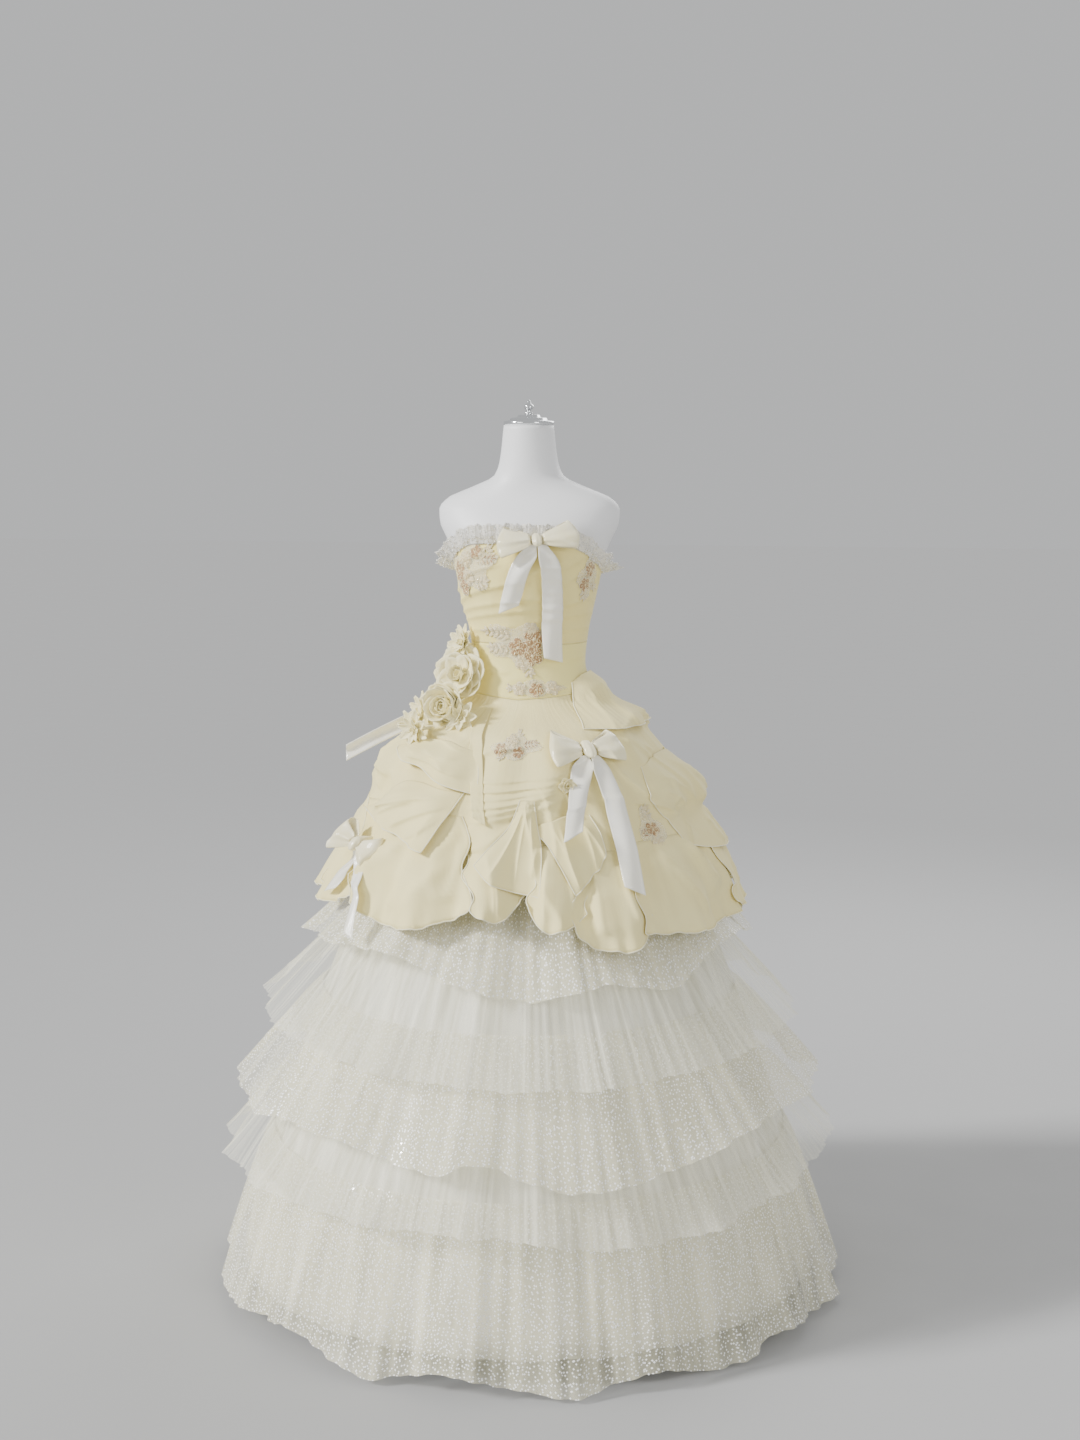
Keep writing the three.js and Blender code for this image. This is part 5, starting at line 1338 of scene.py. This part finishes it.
for bow in BOWS:
    name, _, _, stand, length, tall, thick, _, knot, _ = bow
    for side, label in ((-1, "right"), (1, "left")):
        along, up = np.meshgrid(np.linspace(0, 1, 57), np.linspace(1, -1, 23))
        swell = np.sin(np.pi * along)
        front = np.clip(2.2 * np.cos(np.pi * along), -1, 1)
        across = side * (knot / 2 + LIE + length * swell**0.9 * (1 - 0.16 * up**2 * swell**2))
        out = (thick / 2) * np.cos(np.pi * along) * (0.35 + 0.85 * swell)
        half = lerp(knot * 0.36, tall / 2, swell**0.62)
        near = (1 - swell) ** 0.7
        fan = 3.4 * np.cos(3.6 * up + 0.7 * side) * near + 1.5 * np.cos(8 * up + 1.4 * side) * near**2
        dent = 3.0 * np.exp(-((up - 0.35 * side) / 0.28) ** 2) * swell**2
        bulge = (6.5 * np.sqrt(np.maximum(1 - up**2, 0)) * swell - dent) * front
        lift = 3 * swell * np.sin(2.5 * along + side) + 2.5 * side * swell * (0.5 - 0.5 * up)
        grid = bow_point(bow, across, half * up + lift, out + fan * 0.8 + bulge)
        grid = grid if side > 0 else grid[:, ::-1]
        flat = (2.3 * length * MM, tall * MM)
        loop = build(f"{name}_ribbon_{label}", *shell(grid, 0.8 * MM), flat, [RIBBON_SATIN])
        on_gown(loop, "ribbon", f"{name}_loop_{label}")
    share, down = uv_grid(49, 25)
    theta, phi = (2 * np.pi * share)[:, :-1], np.pi * lerp(0.03, 0.97, down[:, :-1])
    groove = 1 + 0.06 * np.cos(7 * theta + 2 * np.sin(phi)) * np.sin(phi)
    forward = -np.cos(theta) * np.sin(phi) * groove
    out = 3 + forward * np.where(forward > 0, thick * 0.45, stand + 3)
    pinch = 1 - 0.18 * np.sin(phi) ** 2
    across = knot / 2 * np.sin(theta) * np.sin(phi) * groove * pinch
    grid = bow_point(bow, across, knot * 0.55 * np.cos(phi), out)
    tie = build(f"{name}_tie", *capped(grid), materials=[RIBBON_SATIN])
    on_gown(tie, "ribbon", f"{name}_knot")
    print(name, "loops stand", length, "mm to each side of a knot of", knot, "mm")

# %% [markdown]
# ## Hanging ribbons
# Ribbon ends hang on a smooth line over the gown and twist a little, so their edges leave the cloth in turn.
# Each end is cut on a slant.

# %% Hanging ribbons
HANGING = {
    # name: width, slant, twist, material, line of angle, z, out
    "bow_bust_tail_right": (38, 16, 3, WHITE_RIBBON, [
        (15, 1429, 22), (10, 1406, 9), (5, 1382, 7), (0, 1346, 8), (-5, 1308, 12)]),
    "bow_bust_tail_left": (38, -10, -3, WHITE_RIBBON, [
        (22, 1429, 22), (27, 1400, 9), (31, 1344, 6), (34, 1282, 8), (37, 1212, 14)]),
    "bow_hip_tail_right": (38, 16, 4, WHITE_RIBBON, [
        (37, 1052, 14), (35, 1034, 6), (32, 1006, 12), (28, 966, 26), (25, 926, 44)]),
    "bow_hip_tail_left": (38, -18, -4, WHITE_RIBBON, [
        (41, 1052, 14), (42, 1030, 6), (42, 988, 14), (42, 912, 20), (41, 828, 26)]),
    "bow_side_tail_right": (32, 12, 3, WHITE_RIBBON, [
        (-49, 874, 36), (-51, 848, 22), (-53, 824, 28), (-55, 790, 28)]),
    "bow_side_tail_left": (30, -16, -3, WHITE_RIBBON, [
        (-45, 874, 36), (-42, 846, 24), (-38, 800, 30), (-35, 738, 44)]),
    "hip_chiffon_tail": (26, -14, 2, CHIFFON, [
        (-28, 1122, 0.8), (-17, 1084, 3), (-9, 1012, 4), (-4, 944, 7)]),
}
for name, (width, slant, twist, material, line) in HANGING.items():
    across, down = uv_grid(15, 61)
    last = len(line) - 1
    steps = np.arange(last + 1)
    at = down * last
    path = [curve(np.stack([steps, [row[k] for row in line]], -1), at) for k in range(3)]
    middle, z, out = path[0], path[1] + (across - 0.5) * slant * down**4, path[2]
    reach = skin(middle, z) + out
    loft = 0.12 if material is CHIFFON else 1
    gathered = lerp(0.5, 1, smooth(down / 0.3))
    angle = middle + np.degrees((across - 0.5) * width * gathered / reach)
    lie = 2.6 * np.cos(5 * across + 5 * down) + 2.6 * twist * (across - 0.5) * np.sin(5.5 * down + 0.4)
    radius = np.maximum(skin(angle, z) + LIE, reach) + RIBBON + loft * (3 + lie) * smooth(down * 4)
    grid = around(angle, radius, z)
    length = float(np.linalg.norm(np.diff(grid[:, 7], axis=0), axis=1).sum())
    flat = (width * MM, length)
    tail = build(name + "_ribbon", *shell(grid, 0.7 * MM), flat, [material])
    on_gown(tail, "chiffon" if material is CHIFFON else "ribbon", name)
    print(name, "length", round(length, 3))

STIFF_ANGLE, STIFF_WIDTH, STIFF_ROOT, STIFF_END, STIFF_REACH = -71, 31, 1094, 1030, 350
along, side = np.meshgrid(np.linspace(0, 1, 41), np.linspace(1, 0, 13))
root = skin(STIFF_ANGLE, STIFF_ROOT - STIFF_WIDTH / 2) + LIE
z = lerp(STIFF_ROOT, STIFF_END, along) + (side - 0.5) * STIFF_WIDTH
radius = lerp(root, STIFF_REACH, along) + 4 * np.sin(np.pi * along)
bend = 3 * np.cos(2 * np.pi * side) + 2 * np.sin(4 * along)
grid = around(STIFF_ANGLE + np.degrees(bend / radius), radius, z)
stiff = build("stiff_ribbon", *shell(grid[:, ::-1], 0.9 * MM), (0.19, 0.031), [WHITE_RIBBON])
on_gown(stiff, "ribbon", "hip_ribbon")

# %% [markdown]
# ## Cloth flowers
# A flower is made of rings of petals, each cut from stiffened organza, cupped with a hot ball and wired at
# its root. One petal is modelled; Geometry Nodes set it round a ring, tilt it and make each a little
# different. Outer rings lie flatter than inner ones.

# %% Petals and the tree that sets them round
def petal_mesh(name, length, width, cup, notch, tip):
    """One petal along +X, with a cupped middle and a rolled-back tip."""
    across, along = np.meshgrid(np.linspace(-1, 1, 7), np.linspace(0, 1, 9))
    half = width / 2 * (np.sin(np.pi * np.clip(along, 0, 1) ** 0.75 * 0.93) ** 0.62 * 0.9 + 0.1)
    x = length * (along - notch * along**3 * (1 - np.abs(across)) ** 2)
    x = x - length * 0.10 * across**2 * along
    y = half * across
    z = cup * (across**2 - 0.35) * np.sin(np.pi * along) + tip * along**3 - 0.8 * np.cos(5 * across) * along
    grid = np.stack([x, y, z], -1) * MM
    mesh_points, mesh_faces, mesh_uv = shell(grid, 0.5 * MM)
    return build(name, mesh_points, mesh_faces, mesh_uv, (width * MM, length * MM), [PETAL_CLOTH])


TWIST_SEED = 7


def petal_ring_tree():
    tree, given = new_tree("petals_round_a_middle", {
        "Petal": None, "Count": 5, "Inner radius": 0.003, "Raise": 0.4, "Turn": 0.0, "Size": 1.0,
        "Uneven": 0.12, "Seed": 1})
    ring = step(tree, "GeometryNodeMeshCircle", {"Vertices": given["Count"], "Radius": given["Inner radius"]})
    number = step(tree, "GeometryNodeInputIndex")
    share = maths(tree, "DIVIDE", number.outputs[0], given["Count"])
    heading = step(tree, "ShaderNodeCombineXYZ", {"Z": maths(tree, "MULTIPLY", share, 2 * math.pi)})
    part = step(tree, "GeometryNodeObjectInfo", {"Object": given["Petal"]})
    laid = step(tree, "GeometryNodeInstanceOnPoints", {
        "Points": ring.outputs[0], "Instance": part.outputs["Geometry"], "Rotation": heading.outputs[0]})
    limits = {2: maths(tree, "MULTIPLY", given["Uneven"], -1.0), 3: given["Uneven"]}
    change = step(tree, "FunctionNodeRandomValue", {**limits, "Seed": given["Seed"]}).outputs[1]
    twist = step(tree, "FunctionNodeRandomValue", {**limits, "Seed": TWIST_SEED}).outputs[1]
    lift = maths(tree, "SUBTRACT", change, given["Raise"])
    tilt = step(tree, "ShaderNodeCombineXYZ", {"X": twist, "Y": lift})
    leaned = step(tree, "GeometryNodeRotateInstances", {
        "Instances": laid.outputs[0], "Rotation": tilt.outputs[0]})
    sized = step(tree, "GeometryNodeScaleInstances", {
        "Instances": leaned.outputs[0], "Scale": maths(tree, "ADD", change, given["Size"])})
    around_z = step(tree, "ShaderNodeCombineXYZ", {"Z": given["Turn"]})
    whole = step(tree, "GeometryNodeTransform", {
        "Geometry": sized.outputs[0], "Rotation": around_z.outputs[0]})
    close_tree(tree, whole.outputs[0], PETAL_CLOTH)
    return tree


PETAL_RING = petal_ring_tree()
PETALS = {
    "broad": petal_mesh("petal_broad", 30, 34, 7, 0.08, 4),
    "narrow": petal_mesh("petal_narrow", 27, 14, 3.5, 0.0, 3),
    "small": petal_mesh("petal_small", 16, 17, 4, 0.0, 1),
}
print("faces of a petal:", {kind: len(petal.data.polygons) for kind, petal in PETALS.items()})

# %% [markdown]
# Each flower below is a list of rings, from the outer one to the middle: the petal, how many, how far they
# are raised from flat (in radians), the turn of the ring and its size.

# %% Flowers
FLOWERS = {
    # name: angle, z, out, faces, lift, rings
    "flower_rose_main": (-47, 1122, 48, -22, 14, [
        ("broad", 6, 0.40, 0.0, 1.9), ("broad", 6, 0.74, 0.5, 1.75), ("broad", 6, 1.0, 0.2, 1.24),
        ("broad", 5, 1.18, 0.7, 1.02), ("broad", 4, 1.32, 0.1, 0.78), ("small", 5, 1.42, 0.5, 0.95)]),
    "flower_rose_upper": (-57, 1180, 34, -20, 16, [
        ("broad", 7, 0.0, 0.3, 1.95), ("broad", 6, 0.35, 0.8, 1.55), ("broad", 5, 0.95, 0.1, 0.95),
        ("small", 5, 1.25, 0.6, 1.0)]),
    "flower_daisy_upper": (-66, 1238, 22, -40, 20, [
        ("narrow", 9, 0.16, 0.0, 1.3), ("narrow", 8, 0.5, 0.3, 1.05), ("small", 5, 1.1, 0.1, 0.6)]),
    "flower_daisy_side": (-60, 1112, 58, -48, 10, [
        ("narrow", 9, 0.10, 0.2, 1.35), ("narrow", 8, 0.45, 0.4, 1.1), ("small", 5, 1.0, 0.1, 0.8)]),
    "flower_petals_front": (-33, 1108, 34, -14, 16, [
        ("narrow", 8, 0.10, 0.1, 1.35), ("narrow", 7, 0.5, 0.5, 1.0), ("small", 4, 1.1, 0.1, 0.5)]),
    "flower_petals_low": (-47, 1086, 38, -30, -4, [
        ("narrow", 8, 0.05, 0.5, 1.4), ("narrow", 7, 0.4, 0.2, 1.05), ("small", 4, 1.1, 0.1, 0.5)]),
    "rosette_small": (27, 1003, 9, 24, 0, [
        ("small", 6, 0.35, 0.0, 0.95), ("small", 5, 0.8, 0.4, 0.74), ("small", 4, 1.2, 0.2, 0.5)]),
}
RING_STEP, STEM_RADIUS = 0.0012, 0.0028
ring_carrier = path_object([(np.zeros((2, 3)), False)])
for name, (middle, height, stand, faces_to, lift, rings) in FLOWERS.items():
    base = around(middle, float(skin(middle, height)) + stand, height)
    facing, lift = math.radians(faces_to), math.radians(lift)
    right = np.array([math.cos(facing), math.sin(facing), 0])
    out = np.array([math.sin(facing) * math.cos(lift), -math.cos(facing) * math.cos(lift), math.sin(lift)])
    up = np.cross(out, right)
    parts, uvs = [], []
    for level, (kind, petals, raise_by, turn, size) in enumerate(rings):
        part = grow(PETAL_RING, ring_carrier, "ring", {
            "Petal": PETALS[kind], "Count": petals, "Raise": raise_by, "Turn": turn, "Size": size,
            "Inner radius": 0.002, "Uneven": 0.1, "Seed": level + len(name)})
        local = np.empty(len(part.data.vertices) * 3)
        part.data.vertices.foreach_get("co", local)
        local = local.reshape(-1, 3)
        lifted = local[:, 2:] + RING_STEP * level
        turned_points = base + local[:, :1] * right + local[:, 1:2] * up + lifted * out
        parts.append((turned_points, [tuple(face.vertices) for face in part.data.polygons]))
        uvs.extend([tuple(item.uv) for item in part.data.uv_layers[0].data])
        bpy.data.objects.remove(part)
    foot = float(skin(middle, height))
    stem_angle = 2 * math.pi * np.arange(10) / 10
    ends = [base - 0.001 * out, around(middle, foot, height - stand * math.sin(lift) * 0.5)]
    stem = np.stack([[end + STEM_RADIUS * (math.cos(a) * right + math.sin(a) * up) for a in stem_angle]
                     for end in ends])
    stem_points, stem_faces = capped(stem[:, ::-1])
    parts.append((stem_points, stem_faces))
    uvs.extend([(0, 0)] * sum(len(face) for face in stem_faces))
    flower = build(name.replace("flower", "cloth_flower"), *joined(parts), uvs, (1, 1), [PETAL_CLOTH])
    on_gown(flower, "flower", name)
    print(name, "petals", sum(row[1] for row in rings), "faces", len(flower.data.polygons))
bpy.data.objects.remove(ring_carrier)
for petal in PETALS.values():
    bpy.data.objects.remove(petal)

# %% [markdown]
# ## Studio
# A wide pale floor lies under a pale sky of about the same lightness, so the horizon hardly shows. The key
# is a sun of ten degrees' width from the front left that shapes the folds; three soft boxes, two in front
# and one behind, brighten the shadows and add shine to the satin.

# %% Floor and lights
FLOOR_HALF, FLOOR_GREY, SKY_STRENGTH = 30, 0.41, 0.60
corners = [(FLOOR_HALF * x, FLOOR_HALF * y, 0) for x, y in ((-1, -1), (1, -1), (1, 1), (-1, 1))]
floor_mesh = bpy.data.meshes.new("floor")
floor_mesh.from_pydata(corners, [], [(0, 1, 2, 3)])
floor_mesh.materials.append(hard_finish("studio_floor", (FLOOR_GREY,) * 3, 0.85, 6, 0.05))
floor = bpy.data.objects.new("floor", floor_mesh)
bpy.context.scene.collection.objects.link(floor)
floor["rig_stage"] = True

world = bpy.data.worlds.new("studio")
world.use_nodes = True
sky = world.node_tree.nodes["Background"]
sky.inputs["Color"].default_value = (0.98, 0.99, 1.0, 1)
sky.inputs["Strength"].default_value = SKY_STRENGTH
bpy.context.scene.world = world


def aimed(name, kind, place, aim, watts):
    light = bpy.data.lights.new(name, kind)
    light.energy = watts
    lamp = bpy.data.objects.new(name, light)
    bpy.context.scene.collection.objects.link(lamp)
    lamp.location = place
    lamp.rotation_euler = (Vector((0, 0, aim)) - Vector(place)).to_track_quat("-Z", "Y").to_euler()
    return light


KEY_STRENGTH, KEY_SOFTNESS = 4.8, math.radians(10)
aimed("key", "SUN", (-3.6, -1.9, 3.1), 0.8, KEY_STRENGTH).angle = KEY_SOFTNESS
SOFTBOXES = [
    # name, place, aim height, watts, width
    ("softbox_left", (-1.6, -2.8, 2.2), 1.0, 22, 1.2),
    ("softbox_right", (2.6, -2.4, 1.9), 0.9, 34, 1.2),
    ("softbox_back", (0.9, 3.0, 3.0), 1.1, 60, 2.0),
]
for name, place, aim, watts, width in SOFTBOXES:
    aimed(name, "AREA", place, aim, watts).size = width
print("lights:", [light.name for light in bpy.data.lights])

# %% [markdown]
# ## Measure and finish
# The work is measured. The triangles show which pieces are heavy.

# %% Measure and finish
added = [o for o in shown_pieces() if "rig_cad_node" not in o]
triangles = {o.name: sum(len(f.vertices) - 2 for f in o.data.polygons) for o in added}
print("triangles added:", sum(triangles.values()), "largest:")
for name in sorted(triangles, key=triangles.get)[:-9:-1]:
    print("  ", name, triangles[name])
